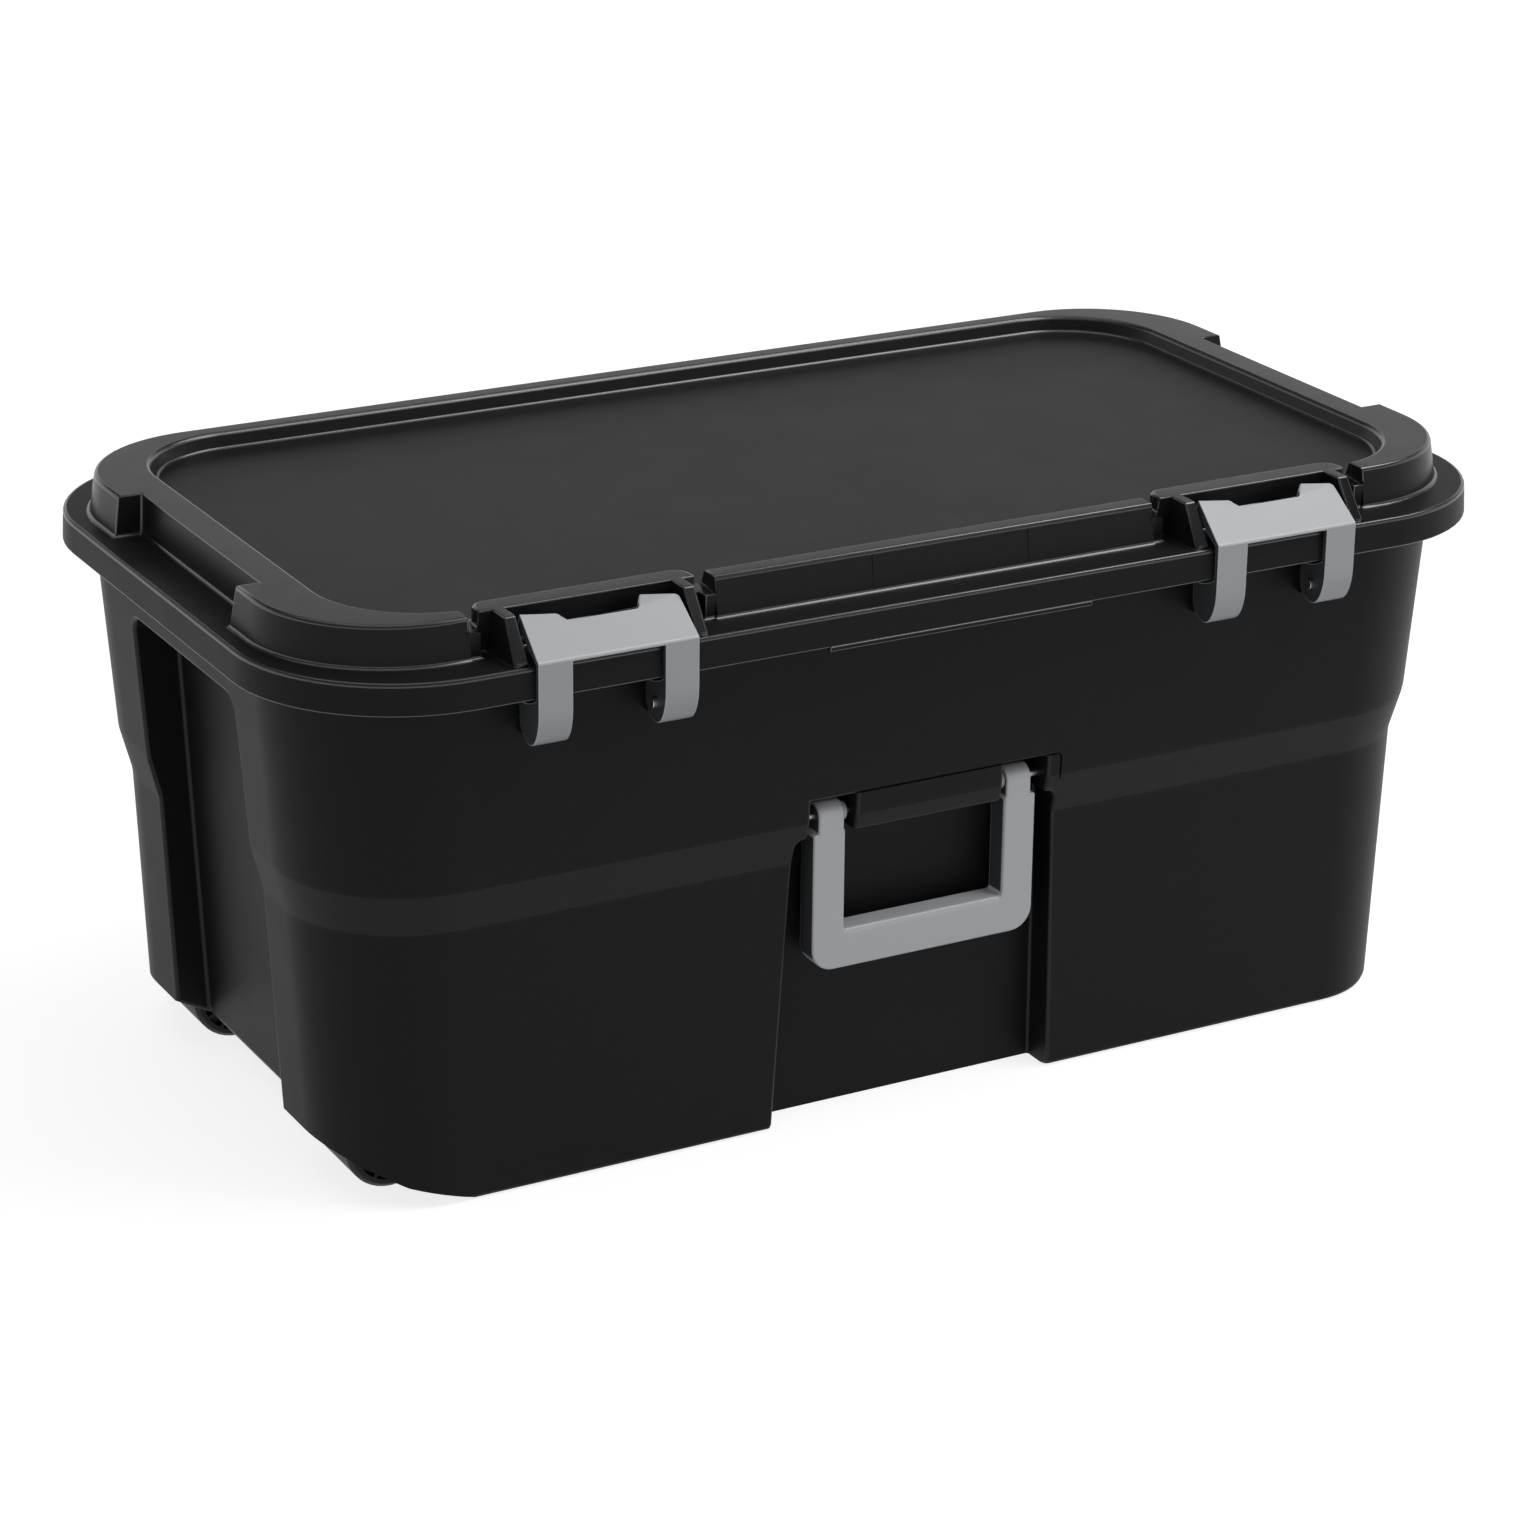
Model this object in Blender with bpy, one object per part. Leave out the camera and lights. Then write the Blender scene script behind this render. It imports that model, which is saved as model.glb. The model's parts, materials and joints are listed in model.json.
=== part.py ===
"""Wheeled storage box: a black plastic tub with a hinged lid, two grey latches, a grey
carry handle that folds into the front, and two wheels in the left end.

Metres, +Z up, the floor at z = 0. X runs along the length, the front faces -Y.
"""

import math

import bmesh
import bpy
from mathutils import Vector

# Clearances

GAP = 0.0003
PIN_PLAY = 0.0003
CUT_PAST = 0.02

# Lid

LENGTH = 0.800
WIDTH = 0.4422
HEIGHT = 0.3552
LID_RADIUS = 0.099
LID_WALL = 0.003
SKIRT_HEIGHT = 0.0184
SKIRT_DRAFT = 0.0010
SKIRT_EDGE = 0.0012
LEDGE_DROP = 0.0240
RIDGE_INSET_END = 0.0170
RIDGE_INSET_SIDE = 0.0281
RIDGE_WIDTH_END = 0.0350
RIDGE_WIDTH_SIDE = 0.0133
RIDGE_RADIUS = 0.0800
RIDGE_DRAFT = 0.0036
RIDGE_EDGE = 0.0014
PANEL_RADIUS = 0.0640
PANEL_DROP = 0.0096
PANEL_DRAFT = 0.0033
NOTCH_HALF = 0.0900
NOTCH_DEPTH = 0.0165

# Latches and the bays they sit in

LATCH_X = 0.2180
LATCH_HALF = 0.0485
LATCH_WALL = 0.0033
LEG_WIDTH = 0.0205
LEG_BELOW_SKIRT = 0.0288
LOBE_RADIUS = 0.0120
LOBE_FRONT_SWEEP = 0.0220
EAR_RADIUS = 0.0042
EAR_WIDTH = 0.0250
EAR_REACH = 0.0012
PLATE_RISE = 0.0068
PLATE_FRONT_RISE = 0.0031
PLATE_MIDDLE_SETBACK = 0.0026
LATCH_PIN_SETBACK = 0.0204
LATCH_PIN_RISE = 0.0135
LATCH_PIN_RADIUS = 0.0015
SWING_PLAY = 0.0005
CATCH_PIN_RADIUS = 0.0030
CATCH_PIN_LENGTH = 0.0120
CATCH_PIN_OUT = 0.0030
BAY_HALF = 0.0745
BAY_BAR = 0.0073
BAY_STEP_WIDTH = 0.0070
BAY_STEP_DROP = 0.0082
CHEEK_PLAY = 0.0020
CHEEK_WIDTH = 0.0070
CHEEK_FLARE = 0.0035
CHEEK_TOP_DEPTH = 0.0145
CHEEK_SETBACK = 0.0036
CATCH_HEIGHT = 0.0170

# Lid hinge

HINGE_XS = (-0.240, 0.0, 0.240)
HINGE_RADIUS = 0.0050
HINGE_PIN_RADIUS = 0.0015
HINGE_DROP = 0.0078
TUB_KNUCKLE = 0.0300
LID_KNUCKLE = 0.0150
KNUCKLE_PLAY = 0.0005

# Tub

TUB_WALL = 0.003
RIM_INSET_END = 0.0150
RIM_INSET_SIDE = 0.0246
RIM_RADIUS = 0.0850
BEAD_WIDTH = 0.0028
BEAD_HEIGHT = 0.0060
BAND_TOP_Z = 0.1965
BAND_HEIGHT = 0.0270
BAND_TOP_INSET_END = 0.0240
BAND_TOP_INSET_SIDE = 0.0301
BAND_LOW_INSET_END = 0.0308
BAND_LOW_INSET_SIDE = 0.0371
FOOT_INSET_END = 0.0385
FOOT_INSET_SIDE = 0.0436
BAND_TOP_RADIUS = 0.0800
BAND_LOW_RADIUS = 0.0740
FOOT_RADIUS = 0.0620
FOOT_EDGE = 0.0035

# Front recess

RECESS_HALF_FOOT = 0.0949
RECESS_HALF_TOP = 0.0868
RECESS_TOP_Z = 0.1850
RECESS_DEPTH_FOOT = 0.0217
RECESS_DEPTH_TOP = 0.0250

# End recesses

END_HALF_FOOT = 0.0820
END_HALF_TOP = 0.0765
END_TOP_Z = 0.2860
END_DEPTH_FOOT = 0.0215
END_DEPTH_TOP = 0.0305

# Wheels and the sloped underside at their end

SLOPE_START = 0.1170
SLOPE_KNEE = 0.0750
SLOPE_KNEE_RISE = 0.0137
SLOPE_RISE = 0.0335
WHEEL_INSET_END = 0.0780
WHEEL_RADIUS = 0.0270
WHEEL_LIFT = 0.0010
WHEEL_WIDTH = 0.0570
WHEEL_OUT_Y = 0.1430
WHEEL_EDGE = 0.0025
WELL_PLAY = 0.0030
WELL_SIDE_PLAY = 0.0010
WELL_WALL = 0.0070
AXLE_RADIUS = 0.0030
AXLE_SEAT = 0.0060

# Carry handle

HANDLE_HALF = 0.0744
HANDLE_ARM = 0.0209
HANDLE_DEPTH = 0.0160
HANDLE_FOOT_Z = 0.0995
GRIP_HEIGHT = 0.0240
HANDLE_CORNER = 0.0140
HANDLE_INNER_CORNER = 0.0020
HANDLE_AXIS_Z = 0.1950
HANDLE_PROUD = 0.0025
NECK_IN = 0.0010
NECK_OUT = 0.0032
NECK_HEIGHT = 0.0100
SLOT_PLAY_IN = 0.0045
SLOT_PLAY_OUT = 0.0051
SLOT_HEAD = 0.0060
HANDLE_PIN_RADIUS = 0.0025
HANDLE_PIN_SEAT = 0.0062

# Heights and planes that follow from the sizes above

LEDGE_Z = HEIGHT - LEDGE_DROP
SKIRT_TOP_Z = LEDGE_Z
SKIRT_Z = SKIRT_TOP_Z - SKIRT_HEIGHT
LEDGE_UNDER_Z = LEDGE_Z - LID_WALL
RIM_Z = LEDGE_UNDER_Z - GAP
BAND_LOW_Z = BAND_TOP_Z - BAND_HEIGHT
HALF_X = LENGTH / 2
HALF_Y = WIDTH / 2
WHEEL_X = -(HALF_X - WHEEL_INSET_END)
BAY_BACK_Y = -(HALF_Y - RIDGE_INSET_SIDE - RIDGE_WIDTH_SIDE + BAY_BAR)
LATCH_FACE_Y = -(HALF_Y + GAP + LATCH_WALL)
LATCH_PIN_Y = -(HALF_Y - LATCH_PIN_SETBACK)
LATCH_PIN_Z = LEDGE_Z + LATCH_PIN_RISE
LOBE_Z = SKIRT_Z - LEG_BELOW_SKIRT + LOBE_RADIUS
LOBE_Y = LATCH_FACE_Y + LOBE_RADIUS
HINGE_Y = -LATCH_FACE_Y - HINGE_RADIUS
HINGE_Z = SKIRT_Z - HINGE_DROP
WHEEL_Z = WHEEL_RADIUS + WHEEL_LIFT

BLACK = (0.020, 0.021, 0.022)
BLACK_WHEEL = (0.012, 0.012, 0.013)
GREY = (0.36, 0.37, 0.38)
STEEL = (0.62, 0.62, 0.60)

CORNER_STEPS = 16


def clear_scene():
    for old in list(bpy.data.objects):
        bpy.data.objects.remove(old, do_unlink=True)


def make_material(name, color, roughness, metallic):
    material = bpy.data.materials.new(name)
    material.use_nodes = True
    shader = material.node_tree.nodes["Principled BSDF"]
    shader.inputs["Base Color"].default_value = (*color, 1.0)
    shader.inputs["Roughness"].default_value = roughness
    shader.inputs["Metallic"].default_value = metallic
    return material


def new_object(name, bm, material=None, origin=(0.0, 0.0, 0.0), smooth=False):
    """A closed mesh with its faces turned out and its origin at a given world point."""
    bmesh.ops.recalc_face_normals(bm, faces=bm.faces)
    bmesh.ops.translate(bm, verts=bm.verts, vec=-Vector(origin))
    for face in bm.faces:
        face.smooth = smooth
    mesh = bpy.data.meshes.new(name)
    bm.to_mesh(mesh)
    bm.free()
    obj = bpy.data.objects.new(name, mesh)
    obj.location = origin
    bpy.context.scene.collection.objects.link(obj)
    if material is not None:
        mesh.materials.append(material)
    return obj


def as_tool(obj):
    obj.hide_render = True
    obj.display_type = "WIRE"
    return obj


def boolean(target, tool, operation):
    modifier = target.modifiers.new(tool.name, "BOOLEAN")
    modifier.object = as_tool(tool)
    modifier.operation = operation
    # The exact solver leaves open edges where the lid's many joins meet.
    modifier.solver = "MANIFOLD" if target.name == "lid" else "EXACT"


def cut(target, *tools):
    for tool in tools:
        boolean(target, tool, "DIFFERENCE")


def join(target, *tools):
    for tool in tools:
        boolean(target, tool, "UNION")


def rounded_ring(half_x, half_y, radius, z):
    """Points of a rounded rectangle, seen from above, counter-clockwise."""
    points = []
    for corner, (sx, sy) in enumerate(((1, 1), (-1, 1), (-1, -1), (1, -1))):
        for step in range(CORNER_STEPS + 1):
            angle = math.pi / 2 * (corner + step / CORNER_STEPS)
            x = sx * (half_x - radius) + radius * math.cos(angle)
            y = sy * (half_y - radius) + radius * math.sin(angle)
            points.append(Vector((x, y, z)))
    return points


def loft(name, rings, **options):
    """A closed solid through rings of equally many points, flat at both ends."""
    bm = bmesh.new()
    loops = [[bm.verts.new(point) for point in ring] for ring in rings]
    for lower, upper in zip(loops, loops[1:]):
        for i in range(len(lower)):
            j = (i + 1) % len(lower)
            bm.faces.new((lower[i], lower[j], upper[j], upper[i]))
    bm.faces.new(list(reversed(loops[0])))
    bm.faces.new(loops[-1])
    return new_object(name, bm, **options)


def prism(name, outline, axis, low, high, **options):
    """An outline of two coordinates, carried along the third from low to high."""
    def place(pair, along):
        point = list(pair)
        point.insert("xyz".index(axis), along)
        return Vector(point)

    rings = [[place(pair, along) for pair in outline] for along in (low, high)]
    return loft(name, rings, **options)


def box(name, low, high, **options):
    outline = [(low[0], low[1]), (high[0], low[1]), (high[0], high[1]), (low[0], high[1])]
    return prism(name, outline, "z", low[2], high[2], **options)


def arc(center, radius, start, end, steps):
    """Points on a circle in a plane, angles in degrees."""
    points = []
    for step in range(steps + 1):
        angle = math.radians(start + (end - start) * step / steps)
        points.append((center[0] + radius * math.cos(angle), center[1] + radius * math.sin(angle)))
    return points


def round_bar(name, axis, center, radius, low, high, steps=24, **options):
    outline = arc(center, radius, 0, 360, steps)[:-1]
    bar = prism(name, outline, axis, low, high, **options)
    for polygon in bar.data.polygons:
        polygon.use_smooth = len(polygon.vertices) == 4
    return bar


def lid_shell(name, thickness, low_z):
    """The lid's outer form, or with a thickness the hollow under it."""
    top = HEIGHT - thickness
    panel = HEIGHT - PANEL_DROP - thickness
    ledge = LEDGE_Z - thickness
    skirt = (HALF_X - thickness, HALF_Y - thickness, LID_RADIUS - thickness)
    ridge = (
        HALF_X - RIDGE_INSET_END - thickness,
        HALF_Y - RIDGE_INSET_SIDE - thickness,
        RIDGE_RADIUS - thickness,
    )
    inner = (
        HALF_X - RIDGE_INSET_END - RIDGE_WIDTH_END + thickness,
        HALF_Y - RIDGE_INSET_SIDE - RIDGE_WIDTH_SIDE + thickness,
        PANEL_RADIUS + thickness,
    )

    def shrink(ring, by):
        return [value - by for value in ring]

    rings = [rounded_ring(*skirt, low_z)]
    if thickness:
        rings.append(rounded_ring(*skirt, ledge))
    else:
        rings.append(rounded_ring(*shrink(skirt, SKIRT_DRAFT), ledge - SKIRT_EDGE))
        rings.append(rounded_ring(*shrink(skirt, SKIRT_DRAFT + SKIRT_EDGE), ledge))
    rings.append(rounded_ring(*shrink(ridge, -RIDGE_DRAFT), ledge))
    if thickness:
        rings.append(rounded_ring(*ridge, top))
        rings.append(rounded_ring(*inner, top))
    else:
        rings.append(rounded_ring(*shrink(ridge, 0), top - RIDGE_EDGE))
        rings.append(rounded_ring(*shrink(ridge, RIDGE_EDGE), top))
        rings.append(rounded_ring(*shrink(inner, -RIDGE_EDGE), top))
        rings.append(rounded_ring(*inner, top - RIDGE_EDGE))
    rings.append(rounded_ring(*shrink(inner, PANEL_DRAFT), panel))
    return loft(name, rings)


def end_notch(name, side, grow):
    """The lowered stretch of the ridge at one end, with drafted faces."""
    face = HALF_X - RIDGE_INSET_END - NOTCH_DEPTH
    rings = []
    for z, draft in ((LEDGE_Z - grow, RIDGE_DRAFT), (HEIGHT + CUT_PAST, 0.0)):
        near = side * (face + draft - grow)
        far = side * (HALF_X + CUT_PAST)
        half = NOTCH_HALF - draft + grow
        rings.append([Vector((x, y, z)) for x, y in ((near, -half), (far, -half), (far, half), (near, half))])
    return loft(name, rings)


def latch_bay(name, center_x):
    return box(
        name,
        (center_x - BAY_HALF, -HALF_Y - CUT_PAST, LEDGE_Z),
        (center_x + BAY_HALF, BAY_BACK_Y, HEIGHT + CUT_PAST),
    )


def solid_bar_behind_bay(name, center_x):
    """Cut from the hollow under the lid, so that the bar behind a bay is solid."""
    inner_edge = -(HALF_Y - RIDGE_INSET_SIDE - RIDGE_WIDTH_SIDE)
    return box(
        name,
        (center_x - BAY_HALF - LID_WALL, -HALF_Y - CUT_PAST, LEDGE_UNDER_Z),
        (center_x + BAY_HALF + LID_WALL, inner_edge, HEIGHT + CUT_PAST),
    )


def cheek(name, center_x, side):
    """A fin of the lid that carries one end of a latch's pin."""
    inner = LATCH_HALF + CHEEK_PLAY
    outer = inner + CHEEK_WIDTH
    front = -(HALF_Y - CHEEK_SETBACK)
    back = BAY_BACK_Y + BAY_BAR / 2
    top_front = BAY_BACK_Y - CHEEK_TOP_DEPTH
    low = LEDGE_Z - LID_WALL / 2
    profile = [(back, low), (back, HEIGHT), (top_front, HEIGHT), (front, LEDGE_Z + SKIRT_EDGE), (front, low)]
    rings = []
    for x, flared in ((inner, False), (outer, True)):
        ring = []
        for y, z in profile:
            flare = CHEEK_FLARE if flared and z == low else 0.0
            ring.append(Vector((center_x + side * (x + flare), y, z)))
        rings.append(ring)
    return loft(name, rings)


def ridge_step(name, center_x, side):
    """The low step at the ridge's end beside a bay."""
    edge = center_x + side * BAY_HALF
    xs = sorted((edge + side * LID_WALL / 2, edge - side * BAY_STEP_WIDTH))
    front = -(HALF_Y - RIDGE_INSET_SIDE + RIDGE_DRAFT / 2)
    return box(
        name,
        (xs[0], front, LEDGE_Z - LID_WALL / 2),
        (xs[1], BAY_BACK_Y + BAY_BAR / 2, HEIGHT - BAY_STEP_DROP),
    )


def lid_knuckle(name, low, high):
    web_low = HALF_Y - LID_WALL
    outline = [(web_low, HINGE_Z), (web_low, SKIRT_Z + LID_WALL)]
    outline += [(HALF_Y - SKIRT_DRAFT, SKIRT_Z + LID_WALL), (HALF_Y - SKIRT_DRAFT, HINGE_Z)]
    web = prism(name + "_web", outline, "x", low, high)
    barrel = round_bar(name, "x", (HINGE_Y, HINGE_Z), HINGE_RADIUS, low, high)
    return web, barrel


def tub_knuckle(name, low, high):
    root = HALF_Y - RIM_INSET_SIDE - TUB_WALL / 2
    half = HINGE_RADIUS - GAP
    outline = [(root, HINGE_Z - half * 2), (root, HINGE_Z + half), (HINGE_Y, HINGE_Z + half)]
    outline += [(HINGE_Y, HINGE_Z - half)]
    arm = prism(name + "_arm", outline, "x", low, high)
    barrel = round_bar(name, "x", (HINGE_Y, HINGE_Z), HINGE_RADIUS, low, high)
    return arm, barrel


def build_lid(material):
    lid = lid_shell("lid", 0.0, SKIRT_Z)
    hollow = lid_shell("lid_hollow", LID_WALL, SKIRT_Z - CUT_PAST)
    for side, word in ((-1, "left"), (1, "right")):
        cut(lid, end_notch("notch_" + word, side, 0.0))
        cut(hollow, end_notch("notch_wall_" + word, side, LID_WALL))
        cut(lid, latch_bay("bay_" + word, side * LATCH_X))
        cut(hollow, solid_bar_behind_bay("bay_bar_" + word, side * LATCH_X))
    cut(lid, hollow)
    for side, word in ((-1, "left"), (1, "right")):
        center = side * LATCH_X
        for which, name in ((-1, "a"), (1, "b")):
            join(lid, cheek(f"cheek_{word}_{name}", center, which))
            join(lid, ridge_step(f"step_{word}_{name}", center, which))
        reach = LATCH_HALF + CHEEK_PLAY + CHEEK_WIDTH * 0.75
        bore = round_bar(
            "latch_bore_" + word,
            "x",
            (LATCH_PIN_Y, LATCH_PIN_Z),
            LATCH_PIN_RADIUS + PIN_PLAY,
            center - reach,
            center + reach,
        )
        cut(lid, bore)
    for number, center in enumerate(HINGE_XS):
        inner = TUB_KNUCKLE / 2 + KNUCKLE_PLAY
        for side in (-1, 1):
            ends = sorted((center + side * inner, center + side * (inner + LID_KNUCKLE)))
            join(lid, *lid_knuckle(f"lid_knuckle_{number}_{side + 1}", *ends))
        half = inner + LID_KNUCKLE + CUT_PAST / 4
        bore = round_bar(
            f"lid_hinge_bore_{number}",
            "x",
            (HINGE_Y, HINGE_Z),
            HINGE_PIN_RADIUS + PIN_PLAY,
            center - half,
            center + half,
        )
        cut(lid, bore)
    lid.data.materials.append(material)
    set_origin(lid, (0.0, HINGE_Y, HINGE_Z))
    return lid


def set_origin(obj, point):
    """Moves an object's origin to a world point and leaves its mesh where it is."""
    shift = Vector(point) - obj.location
    for vertex in obj.data.vertices:
        vertex.co -= shift
    obj.location = point


def tub_rings(thickness):
    """Half sizes, corner radius and height of the tub's form, from the foot up."""
    stations = (
        (FOOT_INSET_END, FOOT_INSET_SIDE, FOOT_RADIUS, 0.0),
        (BAND_LOW_INSET_END, BAND_LOW_INSET_SIDE, BAND_LOW_RADIUS, BAND_LOW_Z),
        (BAND_TOP_INSET_END, BAND_TOP_INSET_SIDE, BAND_TOP_RADIUS, BAND_TOP_Z),
        (RIM_INSET_END, RIM_INSET_SIDE, RIM_RADIUS, RIM_Z - BEAD_HEIGHT),
    )
    found = []
    for end, side, radius, z in stations:
        found.append((HALF_X - end - thickness, HALF_Y - side - thickness, radius - thickness, z))
    return found


def tub_outer():
    foot, band_low, band_top, rim = tub_rings(0.0)
    inset = [value - FOOT_EDGE for value in foot[:3]]
    rings = [rounded_ring(*inset, 0.0)]
    rings.append(rounded_ring(*[value - FOOT_EDGE * 0.3 for value in foot[:3]], FOOT_EDGE * 0.3))
    rings.append(rounded_ring(*foot[:3], FOOT_EDGE))
    rings += [rounded_ring(*station) for station in (band_low, band_top, rim)]
    bead = [value + BEAD_WIDTH for value in rim[:3]]
    rings.append(rounded_ring(*bead, RIM_Z - BEAD_HEIGHT))
    rings.append(rounded_ring(*bead, RIM_Z))
    return loft("tub", rings)


def tub_hollow():
    foot, band_low, band_top, rim = tub_rings(TUB_WALL)
    rings = [rounded_ring(*foot[:3], TUB_WALL)]
    rings += [rounded_ring(*station) for station in (band_low, band_top, rim)]
    rings.append(rounded_ring(*rim[:3], RIM_Z + CUT_PAST))
    return loft("tub_hollow", rings)


def front_recess(name, grow, top_z):
    foot_y = HALF_Y - FOOT_INSET_SIDE - RECESS_DEPTH_FOOT - grow
    top_y = HALF_Y - BAND_TOP_INSET_SIDE - RECESS_DEPTH_TOP - grow
    rings = []
    for z in (-CUT_PAST, top_z + grow):
        share = z / RECESS_TOP_Z
        half = RECESS_HALF_FOOT + (RECESS_HALF_TOP - RECESS_HALF_FOOT) * share + grow
        back = -(foot_y + (top_y - foot_y) * share)
        front = -HALF_Y - CUT_PAST
        rings.append([Vector((x, y, z)) for x, y in ((-half, front), (half, front), (half, back), (-half, back))])
    return loft(name, rings)


def handle_slot(name, side):
    """The raised end of the recess that takes one arm of the handle."""
    xs = sorted((side * (HANDLE_HALF - HANDLE_ARM - SLOT_PLAY_IN), side * (HANDLE_HALF + SLOT_PLAY_OUT)))
    back = -(HALF_Y - BAND_TOP_INSET_SIDE - RECESS_DEPTH_TOP)
    top = HANDLE_AXIS_Z + HANDLE_DEPTH / 2 + SLOT_HEAD
    return box(name, (xs[0], -HALF_Y - CUT_PAST, RECESS_TOP_Z - CUT_PAST), (xs[1], back, top))


def end_recess(name, side, grow):
    foot_x = HALF_X - FOOT_INSET_END - END_DEPTH_FOOT - grow
    top_x = HALF_X - RIM_INSET_END - END_DEPTH_TOP - grow
    rings = []
    for z in (-CUT_PAST, END_TOP_Z + grow):
        share = z / END_TOP_Z
        half = END_HALF_FOOT + (END_HALF_TOP - END_HALF_FOOT) * share + grow
        near = side * (foot_x + (top_x - foot_x) * share)
        far = side * (HALF_X + CUT_PAST)
        rings.append([Vector((x, y, z)) for x, y in ((near, -half), (far, -half), (far, half), (near, half))])
    return loft(name, rings)


def sloped_underside(name, grow):
    """The wedge below the left end, with a knee on its way up to the end's foot."""
    start = -(HALF_X - SLOPE_START)
    knee = -(HALF_X - SLOPE_KNEE)
    end = -(HALF_X - FOOT_INSET_END)
    first = SLOPE_KNEE_RISE / (start - knee)
    second = (SLOPE_RISE - SLOPE_KNEE_RISE) / (knee - end)
    lift = grow * math.hypot(1.0, first)
    far = -HALF_X - CUT_PAST
    outline = [
        (start + (CUT_PAST + lift) / first, -CUT_PAST),
        (knee, SLOPE_KNEE_RISE + lift),
        (far, SLOPE_KNEE_RISE + lift + (knee - far) * second),
        (far, -CUT_PAST),
    ]
    return prism(name, outline, "y", -HALF_Y, HALF_Y)


def wheel_well(name, side, grow, side_grow):
    radius = WHEEL_RADIUS + WELL_PLAY + grow
    outline = arc((WHEEL_X, WHEEL_Z), radius, 0, 180, 20)
    outline += [(WHEEL_X - radius, -CUT_PAST), (WHEEL_X + radius, -CUT_PAST)]
    outer = WHEEL_OUT_Y + WELL_SIDE_PLAY + side_grow
    inner = WHEEL_OUT_Y - WHEEL_WIDTH - WELL_SIDE_PLAY - side_grow
    return prism(name, outline, "y", *sorted((side * outer, side * inner)))


def catch_rib(name, center_x):
    """A rib of the tub that a latch's lobe rests against."""
    face = LATCH_FACE_Y + 2 * LOBE_RADIUS + GAP
    root = -(HALF_Y - RIM_INSET_SIDE - TUB_WALL / 2)
    half = LEG_WIDTH / 2 - CHEEK_PLAY
    low = LOBE_Z - LOBE_RADIUS + CHEEK_PLAY
    return box(name, (center_x - half, face, low), (center_x + half, root, low + CATCH_HEIGHT))


def build_tub(material):
    tub = tub_outer()
    hollow = tub_hollow()
    slot_top = HANDLE_AXIS_Z + HANDLE_DEPTH / 2 + SLOT_HEAD
    cut(tub, front_recess("front_recess", 0.0, RECESS_TOP_Z))
    cut(hollow, front_recess("front_recess_wall", TUB_WALL, slot_top))
    for side, word in ((-1, "left"), (1, "right")):
        cut(tub, handle_slot("handle_slot_" + word, side))
        cut(tub, end_recess("end_recess_" + word, side, 0.0))
        cut(hollow, end_recess("end_recess_wall_" + word, side, TUB_WALL))
    cut(tub, sloped_underside("slope", 0.0))
    cut(hollow, sloped_underside("slope_wall", TUB_WALL))
    for side, word in ((-1, "front"), (1, "back")):
        cut(tub, wheel_well("well_" + word, side, 0.0, 0.0))
        cut(hollow, wheel_well("well_wall_" + word, side, TUB_WALL, WELL_WALL))
    cut(tub, hollow)
    for side, word in ((-1, "left"), (1, "right")):
        for which in (-1, 1):
            leg = side * LATCH_X + which * (LATCH_HALF - LEG_WIDTH / 2)
            join(tub, catch_rib(f"catch_{word}_{which + 1}", leg))
        bore = round_bar(
            "handle_bore_" + word,
            "x",
            (handle_axis_y(), HANDLE_AXIS_Z),
            HANDLE_PIN_RADIUS + PIN_PLAY,
            *handle_pin_ends(side, GAP),
        )
        cut(tub, bore)
    for side, word in ((-1, "front"), (1, "back")):
        low, high = axle_ends(side, GAP)
        cut(tub, round_bar("axle_bore_" + word, "y", (WHEEL_X, WHEEL_Z), AXLE_RADIUS + PIN_PLAY, low, high))
    for number, center in enumerate(HINGE_XS):
        half = TUB_KNUCKLE / 2
        join(tub, *tub_knuckle(f"tub_knuckle_{number}", center - half, center + half))
        bore = round_bar(
            f"tub_hinge_bore_{number}",
            "x",
            (HINGE_Y, HINGE_Z),
            HINGE_PIN_RADIUS + PIN_PLAY,
            center - half - CUT_PAST / 4,
            center + half + CUT_PAST / 4,
        )
        cut(tub, bore)
    tub.data.materials.append(material)
    return tub


def handle_axis_y():
    face = -(HALF_Y - BAND_LOW_INSET_SIDE + HANDLE_PROUD)
    return face + HANDLE_DEPTH / 2


def handle_pin_ends(side, extra):
    inner = HANDLE_HALF - HANDLE_ARM - SLOT_PLAY_IN - HANDLE_PIN_SEAT - extra
    outer = HANDLE_HALF + SLOT_PLAY_OUT + HANDLE_PIN_SEAT + extra
    return sorted((side * inner, side * outer))


def axle_ends(side, extra):
    outer = WHEEL_OUT_Y + WELL_SIDE_PLAY + AXLE_SEAT + extra
    inner = WHEEL_OUT_Y - WHEEL_WIDTH - WELL_SIDE_PLAY - AXLE_SEAT - extra
    return sorted((side * outer, side * inner))


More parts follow.
